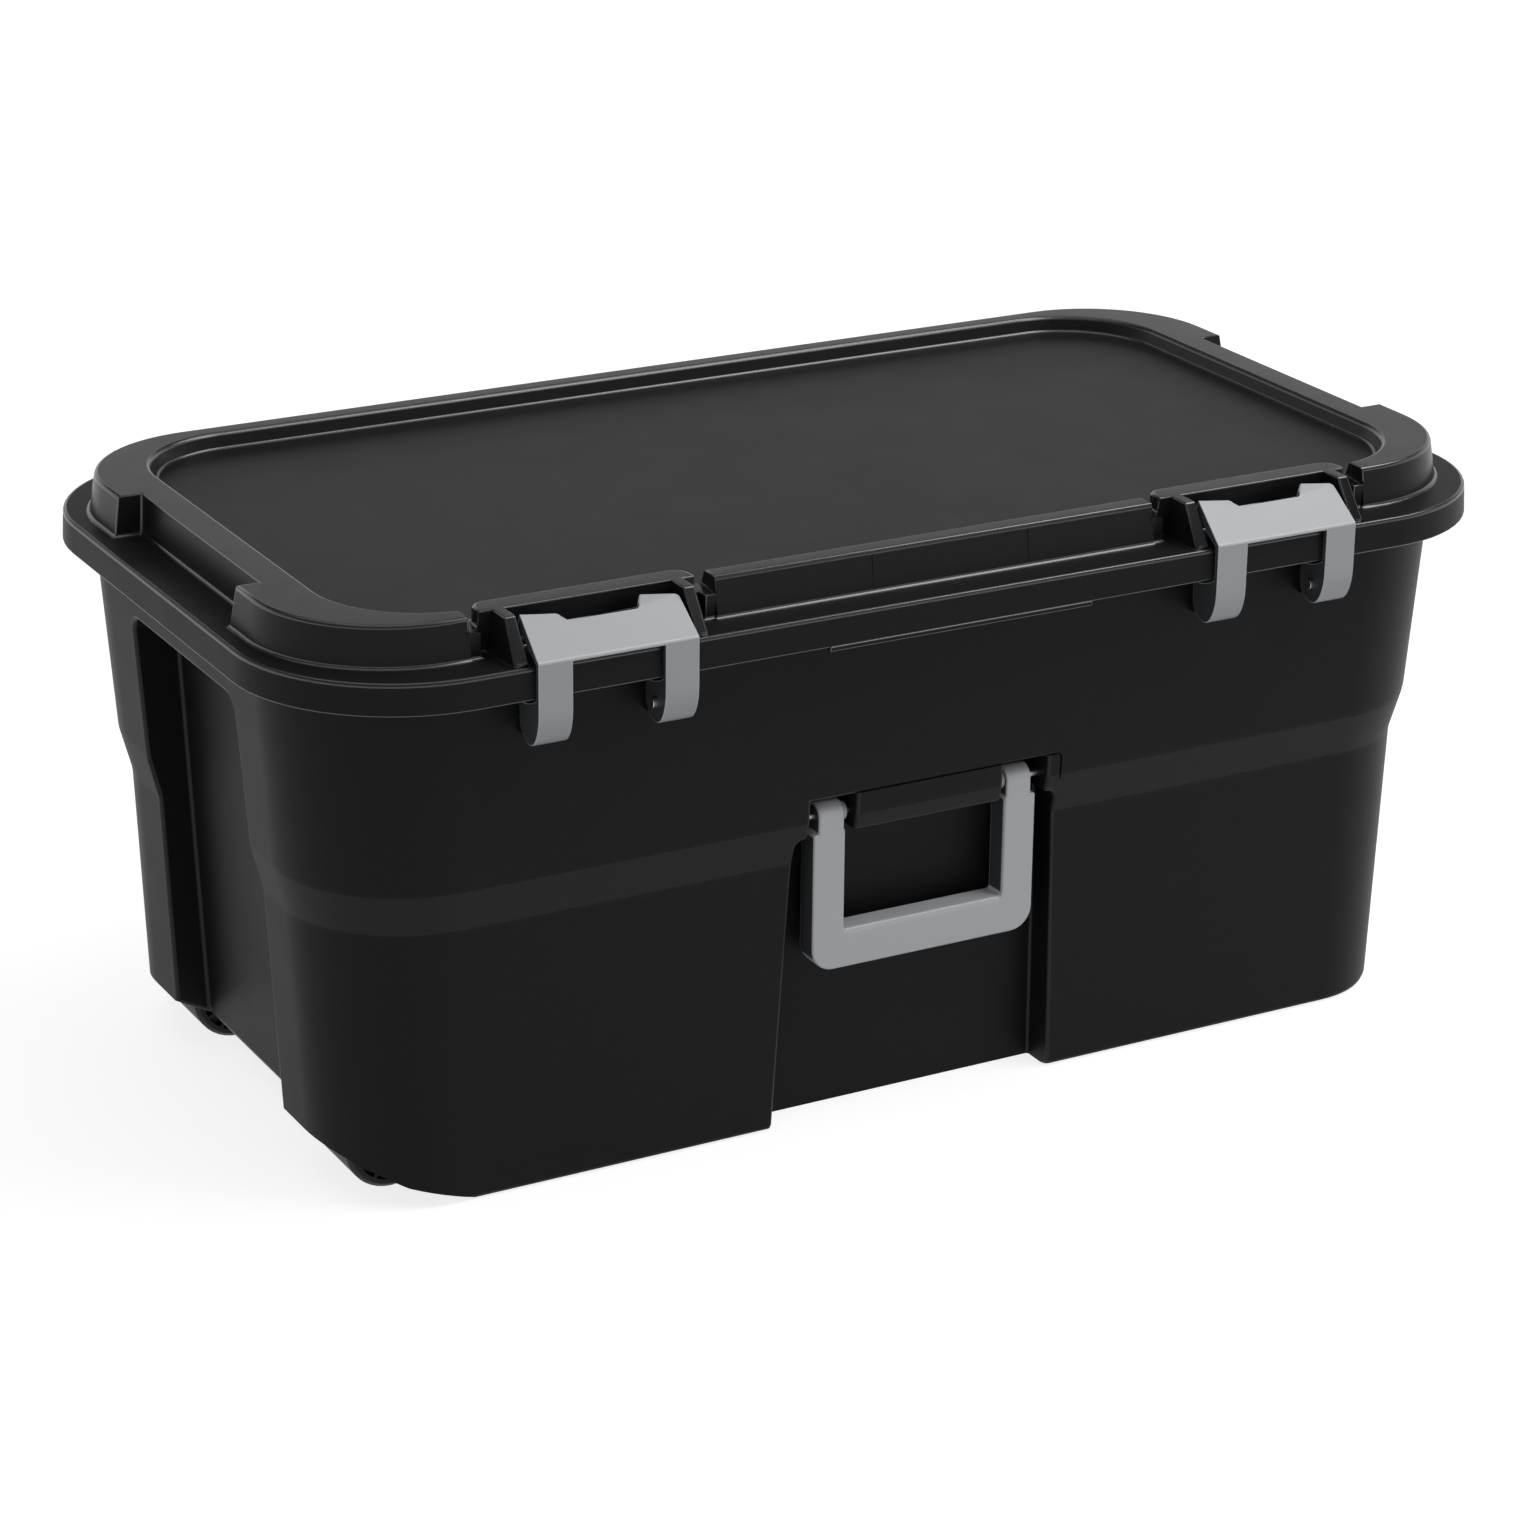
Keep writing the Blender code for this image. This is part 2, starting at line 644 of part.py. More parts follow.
def latch_leg_profile():
    """Section of one side of a latch: ear, plate, leg and the lobe at its foot."""
    face = LATCH_FACE_Y
    bend_z = LEDGE_Z + PLATE_FRONT_RISE
    back_y = LATCH_PIN_Y + EAR_REACH
    back_z = LATCH_PIN_Z + PLATE_RISE
    points = [(back_y, back_z), (face, bend_z)]
    points += lobe_front()
    points += arc((LOBE_Y, LOBE_Z), LOBE_RADIUS, 270, 360, 6)[1:]
    swing = math.hypot(HALF_Y + LATCH_PIN_Y, LATCH_PIN_Z - SKIRT_Z) + SWING_PLAY
    lobe_back = LOBE_Y + LOBE_RADIUS
    inner_face = face + LATCH_WALL
    for step in range(6):
        y = lobe_back + (inner_face - lobe_back) * step / 5
        z = LATCH_PIN_Z - math.sqrt(swing**2 - (y - LATCH_PIN_Y) ** 2)
        points.append((y, z))
    slope = (back_z - bend_z) / (back_y - face)
    under = LATCH_WALL * math.hypot(1.0, slope)
    points.append((inner_face, bend_z + LATCH_WALL * slope - under))
    points += ear_end(face, bend_z, slope, under)
    return points


def lobe_front():
    """The leg's face bends back to the lobe's lowest point along a quarter of an ellipse."""
    start_z = LOBE_Z - LOBE_RADIUS + LOBE_FRONT_SWEEP
    points = []
    for step in range(9):
        angle = math.pi / 2 * step / 8
        points.append((LOBE_Y - LOBE_RADIUS * math.cos(angle), start_z - LOBE_FRONT_SWEEP * math.sin(angle)))
    return points


def ear_end(face, bend_z, slope, under):
    """The plate's underside up to the barrel round the pin, and the barrel."""
    join_y = LATCH_PIN_Y - EAR_RADIUS
    points = [(join_y, bend_z + (join_y - face) * slope - under)]
    return points + arc((LATCH_PIN_Y, LATCH_PIN_Z), EAR_RADIUS, 225, 390, 9)


def latch_ear_profile():
    """Section of the plate where it reaches back round the pin."""
    face = LATCH_FACE_Y
    bend_z = LEDGE_Z + PLATE_FRONT_RISE
    back_y = LATCH_PIN_Y + EAR_REACH
    back_z = LATCH_PIN_Z + PLATE_RISE
    slope = (back_z - bend_z) / (back_y - face)
    under = LATCH_WALL * math.hypot(1.0, slope)
    front_y = face + LATCH_WALL
    front_z = bend_z + LATCH_WALL * slope
    points = [(back_y, back_z), (front_y, front_z), (front_y, front_z - under)]
    return points + ear_end(face, bend_z, slope, under)


def latch_plate_profile():
    """Section of the plate between the two legs."""
    face = LATCH_FACE_Y
    bend_z = LEDGE_Z + PLATE_FRONT_RISE
    back_y = LATCH_PIN_Y + EAR_REACH
    back_z = LATCH_PIN_Z + PLATE_RISE
    slope = (back_z - bend_z) / (back_y - face)
    under = LATCH_WALL * math.hypot(1.0, slope)
    edge_y = LATCH_PIN_Y - PLATE_MIDDLE_SETBACK
    edge_z = bend_z + (edge_y - face) * slope
    low = bend_z + LATCH_WALL * slope - under
    return [(edge_y, edge_z), (face, bend_z), (face, low), (face + LATCH_WALL, low), (edge_y, edge_z - under)]


def build_latch(name, center_x, material):
    latch = prism(
        name,
        latch_plate_profile(),
        "x",
        center_x - LATCH_HALF + LEG_WIDTH / 2,
        center_x + LATCH_HALF - LEG_WIDTH / 2,
    )
    for side, word in ((-1, "a"), (1, "b")):
        ends = sorted((center_x + side * LATCH_HALF, center_x + side * (LATCH_HALF - LEG_WIDTH)))
        join(latch, prism(f"{name}_leg_{word}", latch_leg_profile(), "x", *ends))
        ear = sorted((center_x + side * (LATCH_HALF - LEG_WIDTH / 2), center_x + side * (LATCH_HALF - EAR_WIDTH)))
        join(latch, prism(f"{name}_ear_{word}", latch_ear_profile(), "x", *ear))
        low, high = catch_pin_ends(center_x, side, GAP)
        cut(latch, round_bar(f"{name}_socket_{word}", "x", (LOBE_Y, LOBE_Z), CATCH_PIN_RADIUS + PIN_PLAY, low, high))
    bore = round_bar(
        name + "_bore",
        "x",
        (LATCH_PIN_Y, LATCH_PIN_Z),
        LATCH_PIN_RADIUS + PIN_PLAY,
        center_x - LATCH_HALF - CUT_PAST / 4,
        center_x + LATCH_HALF + CUT_PAST / 4,
    )
    cut(latch, bore)
    latch.data.materials.append(material)
    set_origin(latch, (center_x, LATCH_PIN_Y, LATCH_PIN_Z))
    return latch


def catch_pin_ends(center_x, side, extra):
    """From inside a lobe to a little way out of its inner flank."""
    flank = LATCH_HALF - LEG_WIDTH
    deep = center_x + side * (flank - CATCH_PIN_OUT + CATCH_PIN_LENGTH + extra)
    out = center_x + side * (flank - CATCH_PIN_OUT)
    return sorted((deep, out))


def build_handle(material):
    axis_y = handle_axis_y()
    front = axis_y - HANDLE_DEPTH / 2
    back = axis_y + HANDLE_DEPTH / 2
    inner = HANDLE_HALF - HANDLE_ARM
    shoulder = HANDLE_AXIS_Z - NECK_HEIGHT + GAP
    foot = HANDLE_FOOT_Z
    grip = foot + GRIP_HEIGHT
    r = HANDLE_CORNER
    q = HANDLE_INNER_CORNER
    outline = [(-HANDLE_HALF, shoulder)]
    outline += arc((-HANDLE_HALF + r, foot + r), r, 180, 270, 8)
    outline += arc((HANDLE_HALF - r, foot + r), r, 270, 360, 8)
    outline += [(HANDLE_HALF, shoulder), (inner, shoulder)]
    outline += arc((inner - q, grip + q), q, 0, -90, 4)
    outline += arc((-inner + q, grip + q), q, -90, -180, 4)
    outline += [(-inner, shoulder)]
    handle = prism("carry_handle", outline, "y", front, back)
    neck = arc((axis_y, HANDLE_AXIS_Z), HANDLE_DEPTH / 2, 0, 180, 12)
    neck += [(front, shoulder - NECK_HEIGHT), (back, shoulder - NECK_HEIGHT)]
    for side, word in ((-1, "left"), (1, "right")):
        xs = sorted((side * (inner + NECK_IN), side * (HANDLE_HALF - NECK_OUT)))
        join(handle, prism("handle_neck_" + word, neck, "x", *xs))
        ends = sorted((side * (inner - NECK_IN), side * (HANDLE_HALF + NECK_OUT)))
        bore = round_bar(
            "handle_hole_" + word,
            "x",
            (axis_y, HANDLE_AXIS_Z),
            HANDLE_PIN_RADIUS + PIN_PLAY,
            *ends,
        )
        cut(handle, bore)
    handle.data.materials.append(material)
    set_origin(handle, (0.0, axis_y, HANDLE_AXIS_Z))
    return handle


def build_wheel(name, side, material):
    """A plain disc wheel with rounded edges and a bore for its axle."""
    half = WHEEL_WIDTH / 2
    center_y = side * (WHEEL_OUT_Y - half)
    rings = []
    for along, radius in (
        (-half, WHEEL_RADIUS - WHEEL_EDGE),
        (-half + WHEEL_EDGE, WHEEL_RADIUS),
        (half - WHEEL_EDGE, WHEEL_RADIUS),
        (half, WHEEL_RADIUS - WHEEL_EDGE),
    ):
        circle = arc((WHEEL_X, WHEEL_Z), radius, 0, 360, 40)[:-1]
        rings.append([Vector((x, center_y + along, z)) for x, z in circle])
    wheel = loft(name, rings)
    bore = round_bar(
        name + "_bore",
        "y",
        (WHEEL_X, WHEEL_Z),
        AXLE_RADIUS + PIN_PLAY,
        center_y - half - CUT_PAST / 4,
        center_y + half + CUT_PAST / 4,
    )
    cut(wheel, bore)
    wheel.data.materials.append(material)
    set_origin(wheel, (WHEEL_X, center_y, WHEEL_Z))
    return wheel


def build_pins(steel):
    for side, word in ((-1, "left"), (1, "right")):
        center = side * LATCH_X
        reach = LATCH_HALF + CHEEK_PLAY + CHEEK_WIDTH * 0.75 - GAP
        round_bar(
            f"latch_pin_{word}",
            "x",
            (LATCH_PIN_Y, LATCH_PIN_Z),
            LATCH_PIN_RADIUS,
            center - reach,
            center + reach,
            steps=16,
            material=steel,
        )
        for which, name in ((-1, "a"), (1, "b")):
            ends = catch_pin_ends(center, which, 0.0)
            round_bar(
                f"catch_pin_{word}_{name}",
                "x",
                (LOBE_Y, LOBE_Z),
                CATCH_PIN_RADIUS,
                *ends,
                material=steel,
            )
        round_bar(
            f"handle_pin_{word}",
            "x",
            (handle_axis_y(), HANDLE_AXIS_Z),
            HANDLE_PIN_RADIUS,
            *handle_pin_ends(side, 0.0),
            material=steel,
        )
    for side, word in ((-1, "front"), (1, "back")):
        low, high = axle_ends(side, 0.0)
        round_bar(f"axle_{word}", "y", (WHEEL_X, WHEEL_Z), AXLE_RADIUS, low, high, material=steel)
    for center, word in zip(HINGE_XS, ("left", "middle", "right")):
        half = TUB_KNUCKLE / 2 + KNUCKLE_PLAY + LID_KNUCKLE
        round_bar(
            f"hinge_pin_{word}",
            "x",
            (HINGE_Y, HINGE_Z),
            HINGE_PIN_RADIUS,
            center - half,
            center + half,
            steps=16,
            material=steel,
        )


def main():
    clear_scene()
    black = make_material("black_plastic", BLACK, 0.30, 0.0)
    grey = make_material("grey_plastic", GREY, 0.35, 0.0)
    wheel_black = make_material("wheel_plastic", BLACK_WHEEL, 0.55, 0.0)
    steel = make_material("steel", STEEL, 0.28, 1.0)
    build_tub(black)
    build_lid(black)
    build_latch("latch_left", -LATCH_X, grey)
    build_latch("latch_right", LATCH_X, grey)
    build_handle(grey)
    build_wheel("wheel_front", -1, wheel_black)
    build_wheel("wheel_back", 1, wheel_black)
    build_pins(steel)


main()
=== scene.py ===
# %% [markdown]
# # A wheeled storage box
#
# A long black plastic box with a hinged lid, two grey latches, a grey carry handle that
# folds out of the front, and two small wheels at the left end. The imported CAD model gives
# every size and place. This file adds the rounded edges, the small details and the finishes.
#
# All lengths are in metres: X runs along the box, Y from its front to its back, and Z up
# from the floor, with the origin under the box's middle.

import json
import math
from collections import namedtuple

import bmesh
import bpy
from mathutils import Matrix, Vector


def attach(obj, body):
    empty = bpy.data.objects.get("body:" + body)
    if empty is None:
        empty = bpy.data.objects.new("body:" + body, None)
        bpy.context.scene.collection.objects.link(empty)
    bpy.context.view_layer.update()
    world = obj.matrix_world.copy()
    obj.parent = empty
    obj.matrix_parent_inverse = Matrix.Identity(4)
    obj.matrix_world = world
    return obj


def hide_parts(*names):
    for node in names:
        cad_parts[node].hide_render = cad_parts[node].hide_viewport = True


MM = 0.001

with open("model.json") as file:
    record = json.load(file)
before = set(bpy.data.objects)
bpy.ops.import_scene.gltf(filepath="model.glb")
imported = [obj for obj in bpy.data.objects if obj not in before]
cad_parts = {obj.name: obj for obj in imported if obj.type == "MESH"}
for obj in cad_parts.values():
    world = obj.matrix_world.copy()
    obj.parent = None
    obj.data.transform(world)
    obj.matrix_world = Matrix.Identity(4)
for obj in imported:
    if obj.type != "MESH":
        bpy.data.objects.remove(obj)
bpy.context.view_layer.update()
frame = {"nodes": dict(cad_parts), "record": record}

# %% [markdown]
# ## The camera
#
# The photograph was taken from the front left, a little above the box, through a long
# lens. The place, the turn and the focal length were found by fitting the box's edges to
# the photograph, so they are written here as plain numbers. The camera could be aimed with
# a Track To constraint, but the photograph is also rolled a little, so the camera's three
# axes are worked out instead.

# %% Put the camera where the photographer stood
CAMERA_PLACE = Vector((-1.21227, -2.18155, 1.12573))
CAMERA_AZIMUTH = -0.50597
CAMERA_ELEVATION = 0.37065
CAMERA_ROLL = 0.01074
FOCAL_PIXELS = 4345.5
PHOTO_WIDTH = 1531
SENSOR_MM = 36.0

back = Vector(
    (
        math.sin(CAMERA_AZIMUTH) * math.cos(CAMERA_ELEVATION),
        -math.cos(CAMERA_AZIMUTH) * math.cos(CAMERA_ELEVATION),
        math.sin(CAMERA_ELEVATION),
    )
)
right = Vector((0, 0, 1)).cross(back).normalized()
up = back.cross(right)
turned_right = right * math.cos(CAMERA_ROLL) + up * math.sin(CAMERA_ROLL)
turned_up = up * math.cos(CAMERA_ROLL) - right * math.sin(CAMERA_ROLL)
axes = Matrix((turned_right, turned_up, back)).transposed()

bpy.ops.object.camera_add()
camera = bpy.context.object
camera.matrix_world = Matrix.Translation(CAMERA_PLACE) @ axes.to_4x4()
camera.data.sensor_fit = "HORIZONTAL"
camera.data.sensor_width = SENSOR_MM
camera.data.lens = FOCAL_PIXELS / PHOTO_WIDTH * SENSOR_MM
bpy.context.scene.camera = camera
print("lens in mm", round(camera.data.lens, 2))

# %% [markdown]
# ## Helpers for materials
#
# Colours are written as the hex values that a picture editor shows. Blender's shaders work
# in linear light, so one function turns the one into the other. A second function adds a
# node with its settings and links, which keeps each material short.

# %% Colours and nodes
def linear(hex_color):
    """A colour such as "#1a1b1c" as linear red, green, blue and alpha, by the sRGB curve."""
    values = []
    for start in (1, 3, 5):
        value = int(hex_color[start:start + 2], 16) / 255
        values.append(value / 12.92 if value <= 0.04045 else ((value + 0.055) / 1.055) ** 2.4)
    return (*values, 1.0)


def add_node(tree, kind, settings=None, **inputs):
    """A node with its settings. Its inputs are values, or outputs of other nodes to link.

    An input is given by its name, with _ for a space, or by its number, as in _0.
    """
    node = tree.nodes.new(kind)
    for name, value in (settings or {}).items():
        setattr(node, name, value)
    for name, value in inputs.items():
        key = int(name[1:]) if name[1:].isdigit() else name.replace("_", " ")
        if isinstance(value, bpy.types.NodeSocket):
            tree.links.new(value, node.inputs[key])
        else:
            node.inputs[key].default_value = value
    return node


def new_material(name):
    """A material with an empty Principled shader, and its node tree."""
    material = bpy.data.materials.new(name)
    material.use_nodes = True
    return material, material.node_tree, material.node_tree.nodes["Principled BSDF"]


# %% [markdown]
# ## The floor, the studio and the lamp
#
# The box stands on a plain white floor in even studio light. More lamps would make the
# floor white too, but they would also turn the black plastic grey. So the floor has a
# little light of its own, which only the camera and reflections see. The rest of its
# brightness comes from the lamp, so the box's shadow still falls on it. It lies a hair
# below the box's foot, because two flat faces at one height show through each other.

# %% The floor
FLOOR_HALF = 12.0
FLOOR_OWN_LIGHT = 0.80
FLOOR_GAP = 0.3 * MM

bpy.ops.mesh.primitive_plane_add(size=FLOOR_HALF * 2, location=(0, 0, -FLOOR_GAP))
floor = bpy.context.object
floor.name = "studio_floor"
floor_paint, tree, shader = new_material("matt white paper floor")
shader.inputs["Base Color"].default_value = linear("#a9a9a9")
shader.inputs["Roughness"].default_value = 1.0
shader.inputs["Specular IOR Level"].default_value = 0.0
rays = add_node(tree, "ShaderNodeLightPath").outputs
seen = rays["Is Camera Ray"]
for ray in ("Is Glossy Ray", "Is Transmission Ray"):
    seen = add_node(tree, "ShaderNodeMath", {"operation": "MAXIMUM"}, _0=seen, _1=rays[ray]).outputs[0]
own_light = add_node(tree, "ShaderNodeMath", {"operation": "MULTIPLY"}, _0=seen, _1=FLOOR_OWN_LIGHT)
tree.links.new(own_light.outputs[0], shader.inputs["Emission Strength"])
shader.inputs["Emission Color"].default_value = (1, 1, 1, 1)
floor.data.materials.append(floor_paint)
print("floor", FLOOR_HALF * 2, "m wide,", FLOOR_GAP / MM, "mm below the box")

# %% [markdown]
# Black plastic shows its shape by what it mirrors. A bright stretch low down round the
# studio gives the walls their soft light, a dark stretch above it keeps the lid's panel
# black, and a bright ceiling draws a line of light on the rounded edges. Lamps could stand
# for each of these, but one colour ramp on the height of the direction holds them all.

# %% The studio round the box
# how far up a direction points, 0 level and 1 straight up, and how bright the studio is there
STUDIO_STOPS = ((0.30, 1.0), (0.40, 0.60), (0.46, 0.05), (0.70, 0.05), (0.82, 0.75), (1.0, 0.9))

studio = bpy.data.worlds.new("studio")
bpy.context.scene.world = studio
studio.use_nodes = True
tree = studio.node_tree
direction = add_node(tree, "ShaderNodeTexCoord")
height = add_node(tree, "ShaderNodeSeparateXYZ", _0=direction.outputs["Generated"])
ramp = add_node(tree, "ShaderNodeValToRGB", _0=height.outputs["Z"])
ramp.color_ramp.interpolation = "EASE"
while len(ramp.color_ramp.elements) < len(STUDIO_STOPS):
    ramp.color_ramp.elements.new(0.5)
for element, (place, level) in zip(ramp.color_ramp.elements, STUDIO_STOPS):
    element.position = place
    element.color = (level, level, level, 1)
background = tree.nodes["Background"]
tree.links.new(ramp.outputs["Color"], background.inputs["Color"])
background.inputs["Strength"].default_value = 1.0
print("studio with", len(STUDIO_STOPS), "levels of light")

# %% [markdown]
# One large softbox stands high at the right. A small lamp would give a hard shadow, and
# the photograph's is soft. The lamp is turned so that its own -Z looks at the box.

# %% The softbox
LAMP_PLACE = Vector((1.3, -0.6, 2.3))
LAMP_TARGET = Vector((0, 0, 0.3))
LAMP_WIDTH = 2.2
LAMP_HEIGHT = 1.0
LAMP_WATTS = 38

bpy.ops.object.light_add(type="AREA", location=LAMP_PLACE)
lamp = bpy.context.object
lamp.name = "key_softbox"
lamp.data.shape = "RECTANGLE"
lamp.data.size = LAMP_WIDTH
lamp.data.size_y = LAMP_HEIGHT
lamp.data.energy = LAMP_WATTS
lamp.rotation_euler = (LAMP_TARGET - LAMP_PLACE).to_track_quat("-Z", "Y").to_euler()
bpy.context.scene.view_settings.view_transform = "Standard"
print("softbox", LAMP_WIDTH, "x", LAMP_HEIGHT, "m,", LAMP_WATTS, "W")

# %% [markdown]
# ## Finishes
#
# Nearly all of the box is injection moulded polypropylene. Its surface has a fine grain
# from the etched mould, long shallow waves where the plastic shrank as it cooled, patches
# of uneven gloss from hands, and thin rub marks. Each of these is a noise with a real size
# in millimetres, on the piece's own coordinates, so it stays put when the piece moves.
#
# The real grain is about a tenth of a millimetre and would not show in a picture of the
# whole box, so it is drawn three to six times as coarse.

# %% Bumps and uneven values
RAGGED = 0.55
NOISE_LOW = 0.3
NOISE_HIGH = 0.7


def clouds(tree, where, size, detail):
    """Noise with a size in millimetres."""
    scale = 1 / (size * MM)
    noise = add_node(tree, "ShaderNodeTexNoise", Vector=where, Scale=scale, Detail=detail, Roughness=RAGGED)
    return noise.outputs[0]


def relief(tree, where, size, detail, depth, strength, below=None):
    """Bumps with a size and a depth in millimetres, on top of other bumps."""
    value = clouds(tree, where, size, detail)
    bumps = add_node(tree, "ShaderNodeBump", Height=value, Distance=depth * MM, Strength=strength)
    if below:
        tree.links.new(below, bumps.inputs["Normal"])
    return bumps.outputs["Normal"]


def uneven(tree, where, size, detail, low, high):
    """Noise spread over the values from low to high. It stays near a half, so its middle part is used."""
    value = clouds(tree, where, size, detail)
    spread = add_node(tree, "ShaderNodeMapRange", Value=value, _1=NOISE_LOW, _2=NOISE_HIGH, _3=low, _4=high)
    return spread.outputs[0]


# %% [markdown]
# A moulded plastic is the same everywhere but for its colour, its gloss and the mould's
# texture, so one function makes all of them. Rubbing leaves the plastic a little rougher
# and paler in streaks along the box, so one noise drives both the gloss and the pigment.

# %% Moulded plastic
PLASTIC_IOR = 1.49
PATCH = 30.0
LESS_ROUGH = 0.012
MORE_ROUGH = 0.015
STREAK = 0.9
STREAK_STRETCH = (0.06, 1.0, 1.0)


def plastic(
    name, color, worn_color, roughness, specular,
    grain=0.35, grain_depth=0.012, wave=45.0, wave_depth=0.10, rub=0.05,
):
    """Moulded plastic. Grain and waves have a size and a depth in millimetres."""
    material, tree, shader = new_material(name)
    where = add_node(tree, "ShaderNodeTexCoord").outputs["Object"]

    # waves make a reflection in a flat wall wander, and the grain keeps the wall from looking like glass
    waves = relief(tree, where, wave, detail=1.0, depth=wave_depth, strength=0.35)
    grains = relief(tree, where, grain, detail=2.0, depth=grain_depth, strength=0.6, below=waves)
    tree.links.new(grains, shader.inputs["Normal"])

    patches = uneven(tree, where, PATCH, detail=3.0, low=roughness - LESS_ROUGH, high=roughness + MORE_ROUGH)
    # values under zero are clamped away, so nearly half of the surface is not rubbed at all
    stretched = add_node(tree, "ShaderNodeMapping", Vector=where, Scale=STREAK_STRETCH)
    streaks = uneven(tree, stretched.outputs[0], STREAK, detail=4.0, low=-0.9, high=1.0)
    rubbed = add_node(tree, "ShaderNodeClamp", Value=streaks).outputs[0]
    faint = add_node(tree, "ShaderNodeMath", {"operation": "MULTIPLY"}, _0=rubbed, _1=rub)
    gloss = add_node(tree, "ShaderNodeMath", {"operation": "ADD"}, _0=patches, _1=faint.outputs[0])
    tree.links.new(gloss.outputs[0], shader.inputs["Roughness"])
    pigment = add_node(
        tree, "ShaderNodeMix", {"data_type": "RGBA"}, _0=rubbed, _6=linear(color), _7=linear(worn_color)
    )
    tree.links.new(pigment.outputs[2], shader.inputs["Base Color"])

    shader.inputs["IOR"].default_value = PLASTIC_IOR
    shader.inputs["Specular IOR Level"].default_value = specular
    return material


# %% [markdown]
# The photograph shows four textures of black plastic: a smoother one on the lid's ridge, satin on the tub and
# the skirt, a duller etched one on the lid's panel, and on the shoulder band a slightly rougher one with a
# paler colour, which is painted sheen for the floor's light that the band's downward lean reflects. The edges
# have their own finishes, because fingers and other boxes polish them.

# %% The black finishes
# the lid's ridge: deep black that mirrors the ceiling softly
black = plastic("black polypropylene, smooth mould", "#131313", "#171717", roughness=0.30, specular=0.15)
# the lid's edges: thin bright lines
black_edge = plastic(
    "black polypropylene, edges rubbed shiny", "#191919", "#1d1d1d", roughness=0.26, specular=0.85, rub=0.02
)
# the tub's edges: lines that only just show
satin_edge = plastic(
    "black polypropylene, satin mould's edges", "#1b1b1b", "#1f1f1f", roughness=0.40, specular=0.22, rub=0.02
)
# the tub, the skirt and the ledge: an even, nearly black sheen
satin = plastic(
    "black polypropylene, satin mould", "#181818", "#1c1c1c",
    roughness=0.45, specular=0.095, grain=0.45, grain_depth=0.02,
)
# the shoulder band: a dark grey stripe round the tub, which is painted sheen for the floor's light that its
# downward lean reflects
band_painted_sheen = plastic(
    "black polypropylene, shoulder band with painted sheen", "#272727", "#2b2b2b",
    roughness=0.5, specular=0.10, grain=0.5, grain_depth=0.03,
)
# the lid's panel: a broad dull glow without a mirror image
textured = plastic(
    "black polypropylene, etched mould", "#141414", "#181818",
    roughness=0.46, specular=0.14, grain=0.5, grain_depth=0.03, wave=70.0, rub=0.02,
)
# the wheels are polyethylene, softer and duller than the box
wheel_black = plastic(
    "black polyethylene wheel", "#0b0b0b", "#151515",
    roughness=0.5, specular=0.25, grain=0.6, grain_depth=0.04,
)
black_finishes = (black, black_edge, satin_edge, satin, band_painted_sheen, textured, wheel_black)
print("black finishes:", [finish.name for finish in black_finishes])

# %% [markdown]
# The latches and the handle are moulded in light grey, and the handle's grey is a little paler. Their flanks
# are nearly black in shade, so they get a dark grey of their own, which is painted shade.
# Small pieces shrink less than walls do, so their waves are short and shallow.

# %% The grey finishes
SMALL_PIECE = {"wave": 20.0, "wave_depth": 0.03}
# the latches: a plain, half dull light grey
grey = plastic(
    "grey polypropylene", "#a6a7aa", "#a7a8ab",
    roughness=0.42, specular=0.3, grain=0.3, rub=0.02, **SMALL_PIECE,
)
# the handle: the same, a little paler
handle_grey = plastic(
    "grey polypropylene of the handle", "#bcbdc0", "#bdbec1",
    roughness=0.42, specular=0.3, grain=0.3, rub=0.02, **SMALL_PIECE,
)
# the edges of both: a fine light rim
grey_edge = plastic(
    "grey polypropylene, edges rubbed shiny", "#b9babc", "#bdbec0",
    roughness=0.3, specular=0.5, grain=0.3, rub=0.02, **SMALL_PIECE,
)
# the flanks of both: dark grey, painted shade, which makes the light faces look thin
flank_painted_shade = plastic(
    "grey mouldings, flanks with painted shade", "#404143", "#444547", roughness=0.45, specular=0.2, **SMALL_PIECE
)
print("grey finishes:", [finish.name for finish in (grey, handle_grey, grey_edge, flank_painted_shade)])

# %% [markdown]
# Ribs run across under the lid's panel. The plastic sinks a little over each as it cools,
# and the photograph shows that as faint lines. A sink is a few hundredths of a millimetre
# deep, too shallow to be worth modelling, so it is a soft bump at each rib's distance from
# the lid's middle, on top of the grain.

# %% Faint lines over the panel's ribs
RIB_PLACES = (0.050, 0.180, 0.262)
SINK_WIDTH = 5 * MM
SINK_DEPTH = 0.06 * MM

tree = textured.node_tree
shader = tree.nodes["Principled BSDF"]
place = add_node(tree, "ShaderNodeSeparateXYZ", _0=add_node(tree, "ShaderNodeTexCoord").outputs["Object"])
along = add_node(tree, "ShaderNodeMath", {"operation": "ABSOLUTE"}, _0=place.outputs["X"])
sunk = 0.0
for rib in RIB_PLACES:
    off = add_node(tree, "ShaderNodeMath", {"operation": "SUBTRACT"}, _0=along.outputs[0], _1=rib)
    away = add_node(tree, "ShaderNodeMath", {"operation": "ABSOLUTE"}, _0=off.outputs[0]).outputs[0]
    smooth = {"interpolation_type": "SMOOTHSTEP"}
    line = add_node(tree, "ShaderNodeMapRange", smooth, Value=away, _1=0.0, _2=SINK_WIDTH, _3=1.0, _4=0.0)
    sunk = add_node(tree, "ShaderNodeMath", {"operation": "ADD"}, _0=sunk, _1=line.outputs[0]).outputs[0]
grains = shader.inputs["Normal"].links[0].from_socket
sinks = add_node(tree, "ShaderNodeBump", Height=sunk, Distance=SINK_DEPTH, Strength=0.5, Normal=grains)
tree.links.new(sinks.outputs["Normal"], shader.inputs["Normal"])
print("rib lines at", RIB_PLACES, "on both sides")

